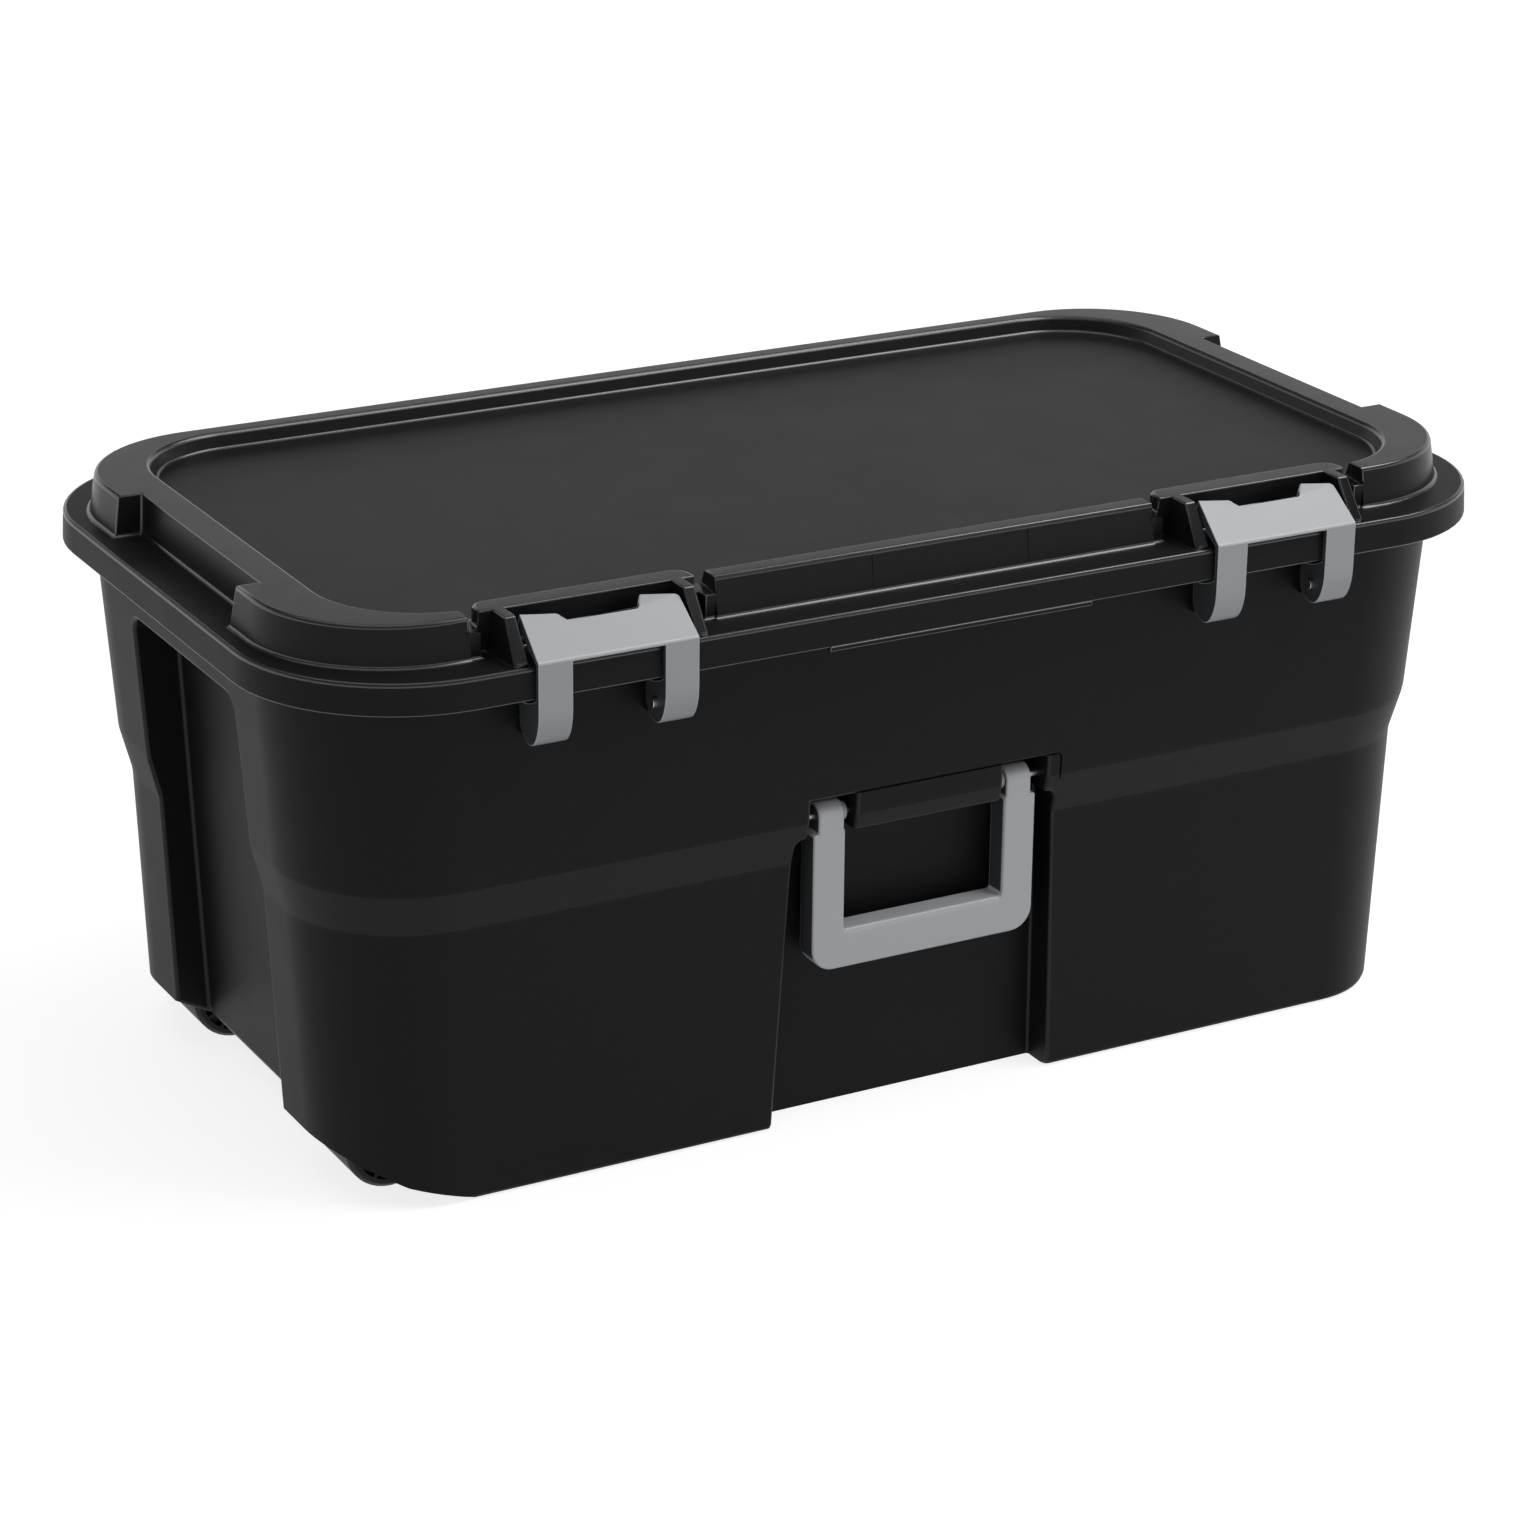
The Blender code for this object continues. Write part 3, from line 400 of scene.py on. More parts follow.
# %% [markdown]
# The pins and axles are drawn steel wire. The die leaves fine lines along it, just over a
# tenth of a millimetre apart, which stretch its highlight. One noise, drawn out along X as
# the pins lie, gives both the lines' bumps and their uneven gloss.

# %% Steel wire
LINE = 0.15
LINE_STRETCH = (0.02, 1.0, 1.0)

steel, tree, shader = new_material("drawn steel wire")
where = add_node(tree, "ShaderNodeTexCoord").outputs["Object"]
lines = add_node(tree, "ShaderNodeMapping", Vector=where, Scale=LINE_STRETCH).outputs[0]
drawn = relief(tree, lines, LINE, detail=3.0, depth=0.008, strength=0.5)
tree.links.new(drawn, shader.inputs["Normal"])
tree.links.new(uneven(tree, lines, LINE, detail=3.0, low=0.24, high=0.38), shader.inputs["Roughness"])
shader.inputs["Base Color"].default_value = linear("#bfbfbd")
shader.inputs["Metallic"].default_value = 1.0
print("finish:", steel.name)

# %% [markdown]
# The CAD nodes give the motion and are hidden by the finished pieces. They get the same
# finishes all the same, so that none of them is left with a plain colour.

# %% Give the CAD nodes the same finishes
for name, node in frame["nodes"].items():
    if name in ("tub", "lid"):
        finish = black
    elif "pin" in name or name.startswith("axle"):
        finish = steel
    elif name.startswith("wheel"):
        finish = wheel_black
    else:
        finish = grey
    node.data.materials.clear()
    node.data.materials.append(finish)
print("finishes on", len(frame["nodes"]), "CAD nodes")

# %% [markdown]
# ## Starting a moulding from its CAD solid
#
# The CAD solid of a moulding has the right walls and sizes but sharp edges, and a real
# moulding has none: every edge has a radius, which is what catches the light. Rebuilding
# the shape would risk a different size, so a copy of the CAD mesh is welded, its triangles
# are joined into flat faces, and then chosen edges are rounded with the bevel tool.

# %% A welded copy with flat faces
WALL = 0
EDGE = 1
WELD = 0.002 * MM
FLAT_WITHIN = math.radians(0.4)
TWIST_WITHIN = math.radians(4)
QUAD_WITHIN = math.radians(60)


def only(piece):
    """Selects one object and makes it the active one, in object mode."""
    if bpy.context.object and bpy.context.object.mode != "OBJECT":
        bpy.ops.object.mode_set(mode="OBJECT")
    bpy.ops.object.select_all(action="DESELECT")
    piece.select_set(True)
    bpy.context.view_layer.objects.active = piece


def settle(piece):
    """Writes a piece's place, turn and scale into its mesh."""
    only(piece)
    bpy.ops.object.transform_apply(location=True, rotation=True, scale=True)


def paint(piece, finishes):
    """Puts finishes in a piece's slots. All faces get the first, and rounded edges will get the second."""
    piece.data.materials.clear()
    for finish in finishes:
        piece.data.materials.append(finish)
    for face in piece.data.polygons:
        face.material_index = WALL


def join_flat_faces(piece):
    """Joins triangles that lie in one plane."""
    only(piece)
    bpy.ops.object.mode_set(mode="EDIT")
    bpy.ops.mesh.select_mode(type="EDGE")
    bpy.ops.mesh.select_all(action="SELECT")
    bpy.ops.mesh.dissolve_limited(angle_limit=FLAT_WITHIN)
    bpy.ops.mesh.tris_convert_to_quads(face_threshold=TWIST_WITHIN, shape_threshold=QUAD_WITHIN)
    bpy.ops.mesh.select_all(action="DESELECT")
    bpy.ops.object.mode_set(mode="OBJECT")


def moulding_from(node, name, finishes):
    """A new object from a welded copy of a CAD node's mesh, with its finishes."""
    piece = bpy.data.objects.new(name, frame["nodes"][node].data.copy())
    bpy.context.scene.collection.objects.link(piece)
    paint(piece, finishes)
    only(piece)
    bpy.ops.mesh.customdata_custom_splitnormals_clear()
    bpy.ops.object.mode_set(mode="EDIT")
    bpy.ops.mesh.select_mode(type="EDGE")
    bpy.ops.mesh.select_all(action="SELECT")
    bpy.ops.mesh.remove_doubles(threshold=WELD)
    bpy.ops.object.mode_set(mode="OBJECT")
    join_flat_faces(piece)
    return piece


# %% [markdown]
# By hand one would click on the edges and faces to work on. In a script they are chosen by
# a test on their place and direction. An edge is described by its middle, the direction
# that it runs in, its length, and its bend: the angle between its two faces in degrees,
# which is positive on an outer edge and negative in an inner corner.

# %% Choose edges and faces by a test
MOSTLY = 0.9
HARDLY = 0.1
SHARP = 50
BENT = 32
Edge = namedtuple("Edge", "middle run length bend")


def near(value, target, within=0.4 * MM):
    return abs(value - target) < within


def is_level(edge):
    return abs(edge.run.z) < HARDLY


def any_corner(edge):
    return abs(edge.bend) > BENT


def outer_rim(edge):
    return edge.bend > SHARP


def pick_faces(piece, wanted):
    """Selects the faces that a test wants. It is given each face's middle and normal."""
    only(piece)
    bpy.ops.object.mode_set(mode="EDIT")
    bpy.ops.mesh.select_mode(type="FACE")
    bpy.ops.mesh.select_all(action="DESELECT")
    mesh = bmesh.from_edit_mesh(piece.data)
    for face in mesh.faces:
        face.select_set(wanted(face.calc_center_median(), face.normal))
    bmesh.update_edit_mesh(piece.data)


def pick_edges(piece, wanted):
    """Selects the edges that a test wants, and counts them."""
    only(piece)
    bpy.ops.object.mode_set(mode="EDIT")
    bpy.ops.mesh.select_mode(type="EDGE")
    bpy.ops.mesh.select_all(action="DESELECT")
    mesh = bmesh.from_edit_mesh(piece.data)
    count = 0
    for edge in mesh.edges:
        a, b = (vertex.co for vertex in edge.verts)
        run = (b - a).normalized() if a != b else Vector((0, 0, 1))
        bend = math.degrees(edge.calc_face_angle_signed(0))
        if wanted(Edge((a + b) / 2, run, (b - a).length, bend)):
            edge.select_set(True)
            count += 1
    bmesh.update_edit_mesh(piece.data)
    return count


# %% [markdown]
# A bevel folds over where a large face has dents in its outline, such as the ledge round
# the latches' cheeks. Two helpers cut such a face into plainer ones first. Cutting across
# at chosen places avoids long slivers, and splitting then takes away the dents that are left.

# %% Cut awkward faces into plain ones
CUT_SNAP = 0.02 * MM


def cut_across(piece, places, wanted):
    """Cuts the faces that a test wants across, at some places along X."""
    for x in places:
        pick_faces(piece, wanted)
        bpy.ops.mesh.bisect(plane_co=(x, 0, 0), plane_no=(1, 0, 0), threshold=CUT_SNAP)
        bpy.ops.object.mode_set(mode="OBJECT")


def split_dented(piece, wanted):
    """Splits the faces that a test wants where their outline has dents."""
    pick_faces(piece, wanted)
    bpy.ops.mesh.vert_connect_concave()
    bpy.ops.mesh.select_all(action="DESELECT")
    bpy.ops.object.mode_set(mode="OBJECT")


# %% [markdown]
# There are two ways to round edges here. The bevel tool rounds one set of edges at once.
# Where sets with unlike radii meet, each edge is given a bevel weight instead, and one
# Bevel modifier rounds them all together, so that the radii run into each other cleanly.

# %% Round edges
WIDEST_ROUND = 6 * MM


def round_edges(piece, what, radius, steps, wanted, material=EDGE):
    """Rounds the edges that a test wants, and says how many there were."""
    count = pick_edges(piece, wanted)
    if count:
        bpy.ops.mesh.bevel(
            offset=radius, offset_type="OFFSET", segments=steps, affect="EDGES",
            clamp_overlap=False, material=material,
        )
    bpy.ops.object.mode_set(mode="OBJECT")
    print(f"{piece.name}: {count} edges rounded, {what}")


def weigh_edges(piece, what, radius, wanted):
    """Marks the edges that a test wants with a radius. A later mark replaces an earlier one."""
    count = pick_edges(piece, wanted)
    if count:
        # the operator adds to the weight, so the old weight is taken away first
        bpy.ops.transform.edge_bevelweight(value=-1)
        bpy.ops.transform.edge_bevelweight(value=radius / WIDEST_ROUND)
    bpy.ops.object.mode_set(mode="OBJECT")
    print(f"{piece.name}: {count} edges marked, {what}")


def round_marked(piece, steps):
    """Rounds every marked edge at once."""
    only(piece)
    rounding = piece.modifiers.new("rounded edges", "BEVEL")
    rounding.limit_method = "WEIGHT"
    rounding.width = WIDEST_ROUND
    rounding.segments = steps
    rounding.use_clamp_overlap = False
    rounding.material = EDGE
    bpy.ops.object.modifier_apply(modifier=rounding.name)


# %% [markdown]
# Grooves and small blocks are cut out or joined on with a Boolean modifier, from a cube primitive stretched
# to its size. Every finished piece ends the same way: smooth shading that keeps real corners sharp, normals
# weighted by area so that flat faces stay flat between their rounded edges, and then its body, and the CAD
# node that it stands for is hidden.

# %% Cut, join and finish
SMOOTH_BELOW = math.radians(50)
FLAT_WEIGHT = 60


def cut_away(piece, tool, operation="DIFFERENCE"):
    """Cuts one closed piece out of another, or joins it on, and removes the tool."""
    settle(tool)
    settle(piece)
    cutting = piece.modifiers.new("cut", "BOOLEAN")
    cutting.operation = operation
    cutting.solver = "EXACT"
    cutting.object = tool
    bpy.ops.object.modifier_apply(modifier=cutting.name)
    bpy.data.objects.remove(tool)


def box(name, low, high, turn=0.0):
    """A cube primitive stretched from one corner to the other, and turned about X."""
    middle = [(a + b) / 2 for a, b in zip(low, high)]
    bpy.ops.mesh.primitive_cube_add(size=1, location=middle, rotation=(turn, 0, 0))
    piece = bpy.context.object
    piece.name = name
    piece.scale = [b - a for a, b in zip(low, high)]
    settle(piece)
    return piece


def finish_moulding(piece, body, node):
    """Shades a piece and gives it its place in the frame."""
    only(piece)
    bpy.ops.object.shade_smooth_by_angle(angle=SMOOTH_BELOW)
    flats = piece.modifiers.new("even shading", "WEIGHTED_NORMAL")
    flats.keep_sharp = True
    flats.weight = FLAT_WEIGHT
    bpy.ops.object.modifier_apply(modifier=flats.name)
    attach(piece, body)
    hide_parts(node)
    print(f"{piece.name}: {len(piece.data.polygons)} faces")


# %% [markdown]
# ## The tub
#
# The tub is one deep moulding. Seen from above it is a rounded rectangle, which grows from
# the foot to the rim and steps out at the shoulder band. The same four outlines that the
# CAD solid is built from tell here whether a point lies on the tub's skin.

# %% The tub's outlines
FOOT_Z = 0.0035
BAND_LOW_Z = 0.1695
BAND_TOP_Z = 0.1965
TUB_RIM_Z = 0.3219
Outline = namedtuple("Outline", "half_x half_y corner")
TUB_OUTLINES = {
    FOOT_Z: Outline(0.3615, 0.1775, 0.062),
    BAND_LOW_Z: Outline(0.3692, 0.1840, 0.074),
    BAND_TOP_Z: Outline(0.3760, 0.1910, 0.080),
    TUB_RIM_Z: Outline(0.3850, 0.1965, 0.085),
}


def beyond_outline(point, outline):
    """How far a point lies outside a rounded rectangle seen from above."""
    across = abs(point.x) - (outline.half_x - outline.corner)
    along = abs(point.y) - (outline.half_y - outline.corner)
    if across > 0 and along > 0:
        return math.hypot(across, along) - outline.corner
    return max(across, along) - outline.corner


def on_outline(point, outline, within):
    return abs(beyond_outline(point, outline)) < within


def tub_skin(z):
    """The tub's outline at a height."""
    heights = list(TUB_OUTLINES)
    for low, high in zip(heights, heights[1:]):
        if z <= high:
            share = max(0.0, (z - low) / (high - low))
            return Outline(*(a + (b - a) * share for a, b in zip(TUB_OUTLINES[low], TUB_OUTLINES[high])))
    return TUB_OUTLINES[TUB_RIM_Z]


def on_skin(point):
    return on_outline(point, tub_skin(point.z), 1.2 * MM)


print("band from", BAND_LOW_Z, "to", BAND_TOP_Z, "m,", TUB_RIM_Z - FOOT_Z, "m of wall")

# %% [markdown]
# The photograph shows soft upper corners in both recesses, a soft shoulder band, and small
# radii along the recesses' edges. Each is a test on where the edge lies: the recess in the
# front for the handle, and those in the ends under the rim. The bores for the handle's pins
# keep their sharp rims.

# %% Which of the tub's edges are rounded
PIVOT_Y = -0.1785
PIVOT_Z = 0.1950
END_RECESS_HALF = 0.0765
END_RECESS_TOP_Z = 0.286
FRONT_RECESS_HALF = 0.0868
FRONT_RECESS_TOP_Z = 0.185
FRONT_REACH_X = 0.098
FRONT_REACH_Y = -0.150
FRONT_REACH_Z = 0.2125
END_REACH_X = 0.335
END_REACH_Y = 0.084
END_REACH_Z = 0.292
ABOVE_FOOT = 0.1 * MM
SHORTEST = 1.5 * MM
BAND_BEND = 8


def end_recess_top_corner(edge):
    at_side = near(abs(edge.middle.y), END_RECESS_HALF, within=1.0 * MM)
    at_top = near(edge.middle.z, END_RECESS_TOP_Z, within=1.0 * MM)
    return abs(edge.run.x) > MOSTLY and at_side and at_top and edge.bend < -SHARP


def front_recess_top_corner(edge):
    at_side = near(abs(edge.middle.x), FRONT_RECESS_HALF, within=1.0 * MM)
    at_top = near(edge.middle.z, FRONT_RECESS_TOP_Z, within=1.0 * MM)
    return abs(edge.run.y) > MOSTLY and at_side and at_top and edge.bend < -SHARP


def on_band(edge):
    z = edge.middle.z
    at_band = near(z, BAND_LOW_Z, within=0.3 * MM) or near(z, BAND_TOP_Z, within=0.3 * MM)
    return at_band and is_level(edge) and on_skin(edge.middle) and abs(edge.bend) > BAND_BEND


def front_recess_edge(edge):
    x, y, z = edge.middle
    inside = abs(x) < FRONT_REACH_X and y < FRONT_REACH_Y and ABOVE_FOOT < z < FRONT_REACH_Z
    at_bore = near(z, PIVOT_Z, within=3.5 * MM) and near(y, PIVOT_Y, within=3.5 * MM)
    on_bore = at_bore and abs(edge.run.x) < HARDLY
    return inside and abs(edge.bend) > SHARP and edge.length > SHORTEST and not on_bore


def end_recess_edge(edge):
    x, y, z = edge.middle
    inside = abs(x) > END_REACH_X and abs(y) < END_REACH_Y and ABOVE_FOOT < z < END_REACH_Z
    return inside and abs(edge.bend) > SHARP and edge.length > SHORTEST


# %% [markdown]
# The corners come first, because an edge that ends in a square corner can't follow it once
# the edge itself is round. The soft corners and the band keep the walls' finish, and only
# the recesses' edges get the edges' one.

# %% Round the tub's edges
tub = moulding_from("tub", "tub_moulding", (satin, satin_edge, band_painted_sheen))
round_edges(tub, "corners of the end recesses", 10 * MM, 6, end_recess_top_corner, material=WALL)
round_edges(tub, "corners of the front recess", 5 * MM, 4, front_recess_top_corner, material=WALL)
round_edges(tub, "the shoulder band", 2.5 * MM, 3, on_band, material=WALL)
round_edges(tub, "the front recess", 1.8 * MM, 3, front_recess_edge)
round_edges(tub, "the end recesses", 2.5 * MM, 3, end_recess_edge)

# %% [markdown]
# The handle's pins sit in a housing that is outlined by a shallow groove: along the top
# between the two slots, round the right corner, and down beside the right slot. A dark
# line in the finish would not catch the light at its lip, so the groove is cut. The tool
# is a block of the housing's outline, less a block that is smaller by the groove's width
# and runs out past it at the left, the foot and the depth.

# %% Cut the groove round the pins' housing
GROOVE_TOP_Z = 0.2104
GROOVE_WIDTH = 1.3 * MM
GROOVE_LEFT_X = -0.0505
GROOVE_RIGHT_X = 0.0890
GROOVE_FOOT_Z = 0.1835
GROOVE_CORNER = 4.0 * MM
GROOVE_OPEN_Y = -0.2100
GROOVE_BOTTOM_Y = -0.1898
BEYOND = 5 * MM


def housing_block(name, inset, beyond):
    """A block as large as the housing, with its upper right corner rounded."""
    right, top = GROOVE_RIGHT_X - inset, GROOVE_TOP_Z - inset
    low = (GROOVE_LEFT_X - beyond, GROOVE_OPEN_Y - beyond, GROOVE_FOOT_Z - beyond)
    block = box(name, low, (right, GROOVE_BOTTOM_Y + beyond, top))

    def top_corner(edge):
        return abs(edge.run.y) > MOSTLY and near(edge.middle.x, right) and near(edge.middle.z, top)

    round_edges(block, "the corner", GROOVE_CORNER - inset, 8, top_corner, material=WALL)
    return block


groove = housing_block("housing_groove", 0, 0)
cut_away(groove, housing_block("housing_inside", GROOVE_WIDTH, BEYOND))
cut_away(tub, groove)
finish_moulding(tub, "tub", "tub")

# %% [markdown]
# The shoulder band is painted paler than the walls: painted sheen for the floor's light that its downward
# lean reflects. Its grain is a little coarser too. It needs no mesh of its own: the sloping faces between the
# two rounds on the tub's skin get that finish.

# %% The shoulder band's painted sheen
BAND = 2
BAND_MARGIN = 1.5 * MM
LEAST_LEAN = 0.1
MOST_LEAN = 0.4


def faces_in(piece, slot):
    return sum(face.material_index == slot for face in piece.data.polygons)


for face in tub.data.polygons:
    between = BAND_LOW_Z + BAND_MARGIN < face.center.z < BAND_TOP_Z - BAND_MARGIN
    if between and on_skin(face.center) and LEAST_LEAN < -face.normal.z < MOST_LEAN:
        face.material_index = BAND
print("band:", faces_in(tub, BAND), "faces")

# %% [markdown]
# ## The lid
#
# The lid is a shell with a hanging skirt, a flat ledge, a raised ridge and a sunken panel.
# Behind each latch the photograph shows a rounded rim that swells out of the ridge into
# the panel, and beside it the ridge is cut through, so that rain drains off the panel over
# a low step. Sculpting them would be slow, so they are blocks: the rims are rounded and
# joined on, and the drains are cut out.

# %% The rims behind the latches, and the drains beside them
LEDGE_Z = 0.3312
RIDGE_Z = 0.3552
PANEL_Z = 0.3456
PANEL_EDGE_Y = -0.1797
LATCH_X = 0.2180
BAY_HALF = 0.0745
BAY_BACK_Y = -0.1870
DRAIN_FRONT_Y = -0.1980
DRAIN_BACK_Y = -0.1752
RIM_HALF = 0.0655
RIM_SWELL = 9 * MM
RIM_CORNER = 9 * MM
RIM_OVERLAP = 2 * MM


def plan_corner(edge):
    return abs(edge.run.z) > MOSTLY and edge.middle.y > PANEL_EDGE_Y


lid = moulding_from("lid", "lid_moulding", (black, black_edge, textured, satin))
for word, side in (("left", -1), ("right", 1)):
    center = side * LATCH_X
    low = (center - RIM_HALF, BAY_BACK_Y + RIM_OVERLAP, PANEL_Z - MM)
    high = (center + RIM_HALF, PANEL_EDGE_Y + RIM_SWELL, RIDGE_Z)
    rim = box(f"bay_rim_{word}", low, high)
    round_edges(rim, "corners seen from above", RIM_CORNER, 8, plan_corner, material=WALL)
    cut_away(lid, rim, "UNION")
    for end in (-1, 1):
        near_x, far_x = sorted((center + end * RIM_HALF, center + end * BAY_HALF))
        drain = box("drain", (near_x, DRAIN_FRONT_Y, PANEL_Z), (far_x, DRAIN_BACK_Y, RIDGE_Z + MM))
        cut_away(lid, drain)
print("lid:", len(lid.data.polygons), "faces before rounding")

# %% [markdown]
# The joins leave the ledge as one large face with the cheeks' feet as dents in it. It is
# cut across beside each cheek and at the ridge's ends, and then all dents are split off.

# %% Prepare the lid's faces
CHEEK_INNER = 0.0505
CHEEK_OUTER = 0.0610


def on_ledge(middle, normal):
    return near(middle.z, LEDGE_Z, within=0.2 * MM) and normal.z > MOSTLY


cuts = [
    side * LATCH_X + end * away
    for side in (-1, 1)
    for end in (-1, 1)
    for away in (CHEEK_INNER, CHEEK_OUTER, BAY_HALF)
]
join_flat_faces(lid)
cut_across(lid, cuts, on_ledge)
split_dented(lid, lambda middle, normal: True)
print("lid:", len(lid.data.polygons), "faces after", len(cuts), "cuts")

# %% [markdown]
# Each kind of edge on the lid has its own radius: a tight one on the ridge and the skirt,
# and wider ones where the ridge and the panel rise. The first tests choose the edges that
# run round the whole lid, by the outline that they lie on.

# %% Which of the lid's edges are rounded: the ridge, the skirt and the panel
SKIRT_FOOT_Z = 0.3128
CHAMFER = 1.4 * MM
SLANTED = 20
RIDGE_OUTLINE = Outline(0.3830, 0.1930, 0.0800)
PANEL_OUTLINE = Outline(0.3480, 0.1797, 0.0640)
SKIRT_OUTLINE = Outline(0.4000, 0.2211, 0.0990)
SKIRT_TOP_OUTLINE = Outline(0.3990, 0.2201, 0.0980)
NOTCH_X = 0.3655
NOTCH_Y = 0.0940


def ridge_rim(edge):
    """The two edges of each small chamfer round the ridge's top."""
    z = edge.middle.z
    high = near(z, RIDGE_Z, within=0.2 * MM) or near(z, RIDGE_Z - CHAMFER, within=0.2 * MM)
    outer = on_outline(edge.middle, RIDGE_OUTLINE, 2.2 * MM)
    inner = on_outline(edge.middle, PANEL_OUTLINE, 2.2 * MM)
    return is_level(edge) and high and (outer or inner) and edge.bend > SLANTED


def skirt_rim(edge):
    high = -1.5 * MM < edge.middle.z - LEDGE_Z < 0.3 * MM
    outer = on_outline(edge.middle, SKIRT_TOP_OUTLINE, 1.6 * MM)
    return is_level(edge) and high and outer and edge.bend > SLANTED


def skirt_foot(edge):
    low = near(edge.middle.z, SKIRT_FOOT_Z) and on_outline(edge.middle, SKIRT_OUTLINE, 0.6 * MM)
    return is_level(edge) and low and edge.length > 3 * MM


def panel_foot(edge):
    return is_level(edge) and near(edge.middle.z, PANEL_Z) and edge.bend < -BENT


def notch_edge(edge):
    x, y, z = edge.middle
    at_notch = abs(y) < NOTCH_Y and abs(x) > NOTCH_X and z > LEDGE_Z + MM
    return at_notch and abs(edge.bend) > SHARP and edge.length > 3 * MM and not ridge_rim(edge)


# %% [markdown]
# Each latch sits in a bay in the ridge, between two cheeks that hold its pin. The bay's
# edges are rounded too, but the bores for the pins and the drains' low steps stay sharp,
# because a bevel on such small faces would fold over.

# %% Which of the lid's edges are rounded: the latch bays
CHEEKS_BACK_Y = -0.1980
BAYS_BACK_Y = -0.1760
BAYS_END_X = 0.3050
LATCH_PIN_Y = -0.2007
LATCH_PIN_Z = 0.3447
STEP_OVERLAP = 1.5 * MM


def ledge_corner(edge):
    return near(edge.middle.z, LEDGE_Z) and edge.bend < -SHARP and edge.length > 2 * MM


def ridge_foot(edge):
    return ledge_corner(edge) and is_level(edge) and edge.middle.y > CHEEKS_BACK_Y


def cheek_foot(edge):
    """The long sides only: a cheek's front stands too near the skirt's rounded edge."""
    return ledge_corner(edge) and abs(edge.run.y) > MOSTLY and edge.middle.y < CHEEKS_BACK_Y


def bay_edge(edge):
    x, y, z = edge.middle
    in_bay = y < BAYS_BACK_Y and abs(x) < BAYS_END_X and z > LEDGE_Z + 0.8 * MM
    on_bore = near(z, LATCH_PIN_Z, within=2.2 * MM) and near(y, LATCH_PIN_Y, within=2.2 * MM)
    beside_bay = abs(abs(x) - LATCH_X) - BAY_HALF
    on_step = near(beside_bay, STEP_OVERLAP) or near(beside_bay, 0.0) and z < PANEL_Z
    left_out = on_bore or on_step or ridge_rim(edge)
    return in_bay and edge.bend > BENT and edge.length > 2.5 * MM and not left_out


def bay_rim_top(edge):
    over_bay = abs(abs(edge.middle.x) - LATCH_X) < RIM_HALF + 0.3 * MM and edge.middle.y > PANEL_EDGE_Y - MM
    return is_level(edge) and near(edge.middle.z, RIDGE_Z, within=0.2 * MM) and over_bay and edge.bend > SHARP


# %% [markdown]
# Ledge, ridge, panel and bays meet in many corners, so their edges are all marked with
# their radii first and then rounded in one go. Done one after the other, each bevel would
# break up the edges that the next one needs.

# %% Round the lid's edges
weigh_edges(lid, "ridge", 0.9 * MM, ridge_rim)
weigh_edges(lid, "skirt's top", 1.0 * MM, skirt_rim)
weigh_edges(lid, "skirt's foot", 0.8 * MM, skirt_foot)
weigh_edges(lid, "ridge's foot", 1.9 * MM, ridge_foot)
weigh_edges(lid, "cheeks' feet", 0.7 * MM, cheek_foot)
weigh_edges(lid, "panel's foot", 1.5 * MM, panel_foot)
weigh_edges(lid, "end notches", 1.4 * MM, notch_edge)
weigh_edges(lid, "latch bays", 1.0 * MM, bay_edge)
weigh_edges(lid, "bays' rims", 2.4 * MM, bay_rim_top)
round_marked(lid, 3)
finish_moulding(lid, "lid", "lid")

# %% [markdown]
# The lid is one moulding, but its mould was not polished alike all over: the ridge is
# smooth, the panel is etched, and the skirt and the ledge are satin like the tub. The
# faces get these finishes by their place, and the rounded edges keep their own.

# %% The panel's etched finish, and the skirt's and ledge's satin one
ETCHED = 2
SATIN = 3
for face in lid.data.polygons:
    if face.material_index == EDGE:
        continue
    on_panel = near(face.center.z, PANEL_Z, within=0.3 * MM) and face.normal.z > MOSTLY
    if on_panel and beyond_outline(face.center, PANEL_OUTLINE) < 0:
        face.material_index = ETCHED
    elif face.center.z < LEDGE_Z + 0.5 * MM:
        face.material_index = SATIN
print("lid:", faces_in(lid, ETCHED), "etched faces and", faces_in(lid, SATIN), "satin ones")

# %% [markdown]
# ## Small things on the lid
#
# Under the middle of the skirt runs a low lip for the fingertips. It is a block with
# rounded edges, which laps over the skirt's foot.

# %% The finger lip
LIP_HALF = 0.086
LIP_OUT_Y = -0.2217
LIP_IN_Y = -0.2184
LIP_LOW_Z = 0.3104
LIP_TOP_Z = 0.3134

lip = box("skirt_finger_lip", (-LIP_HALF, LIP_OUT_Y, LIP_LOW_Z), (LIP_HALF, LIP_IN_Y, LIP_TOP_Z))
paint(lip, (satin, black_edge))
round_edges(lip, "all", 0.7 * MM, 3, any_corner)
finish_moulding(lip, "lid", "lid")

# %% [markdown]
# The plastic was injected at the ledge between the latches, and it left a small oval mark
# there. It is a flattened torus, half sunk in the ledge.

# %% The gate mark
GATE_PLACE = (0.0064, -0.2056, LEDGE_Z)
GATE_FLATTEN = (1.0, 0.5, 0.7)

bpy.ops.mesh.primitive_torus_add(
    major_segments=40, minor_segments=8, major_radius=3.6 * MM, minor_radius=0.45 * MM, location=GATE_PLACE
)
gate = bpy.context.object
gate.name = "ledge_gate_mark"
gate.scale = GATE_FLATTEN
paint(gate, (black,))
settle(gate)
finish_moulding(gate, "lid", "lid")

# %% [markdown]
# Two hairlines run up the ridge's front wall, where inserts met in the mould. Each is a
# thin block that stands a fifth of a millimetre proud, leaning back as the wall does.

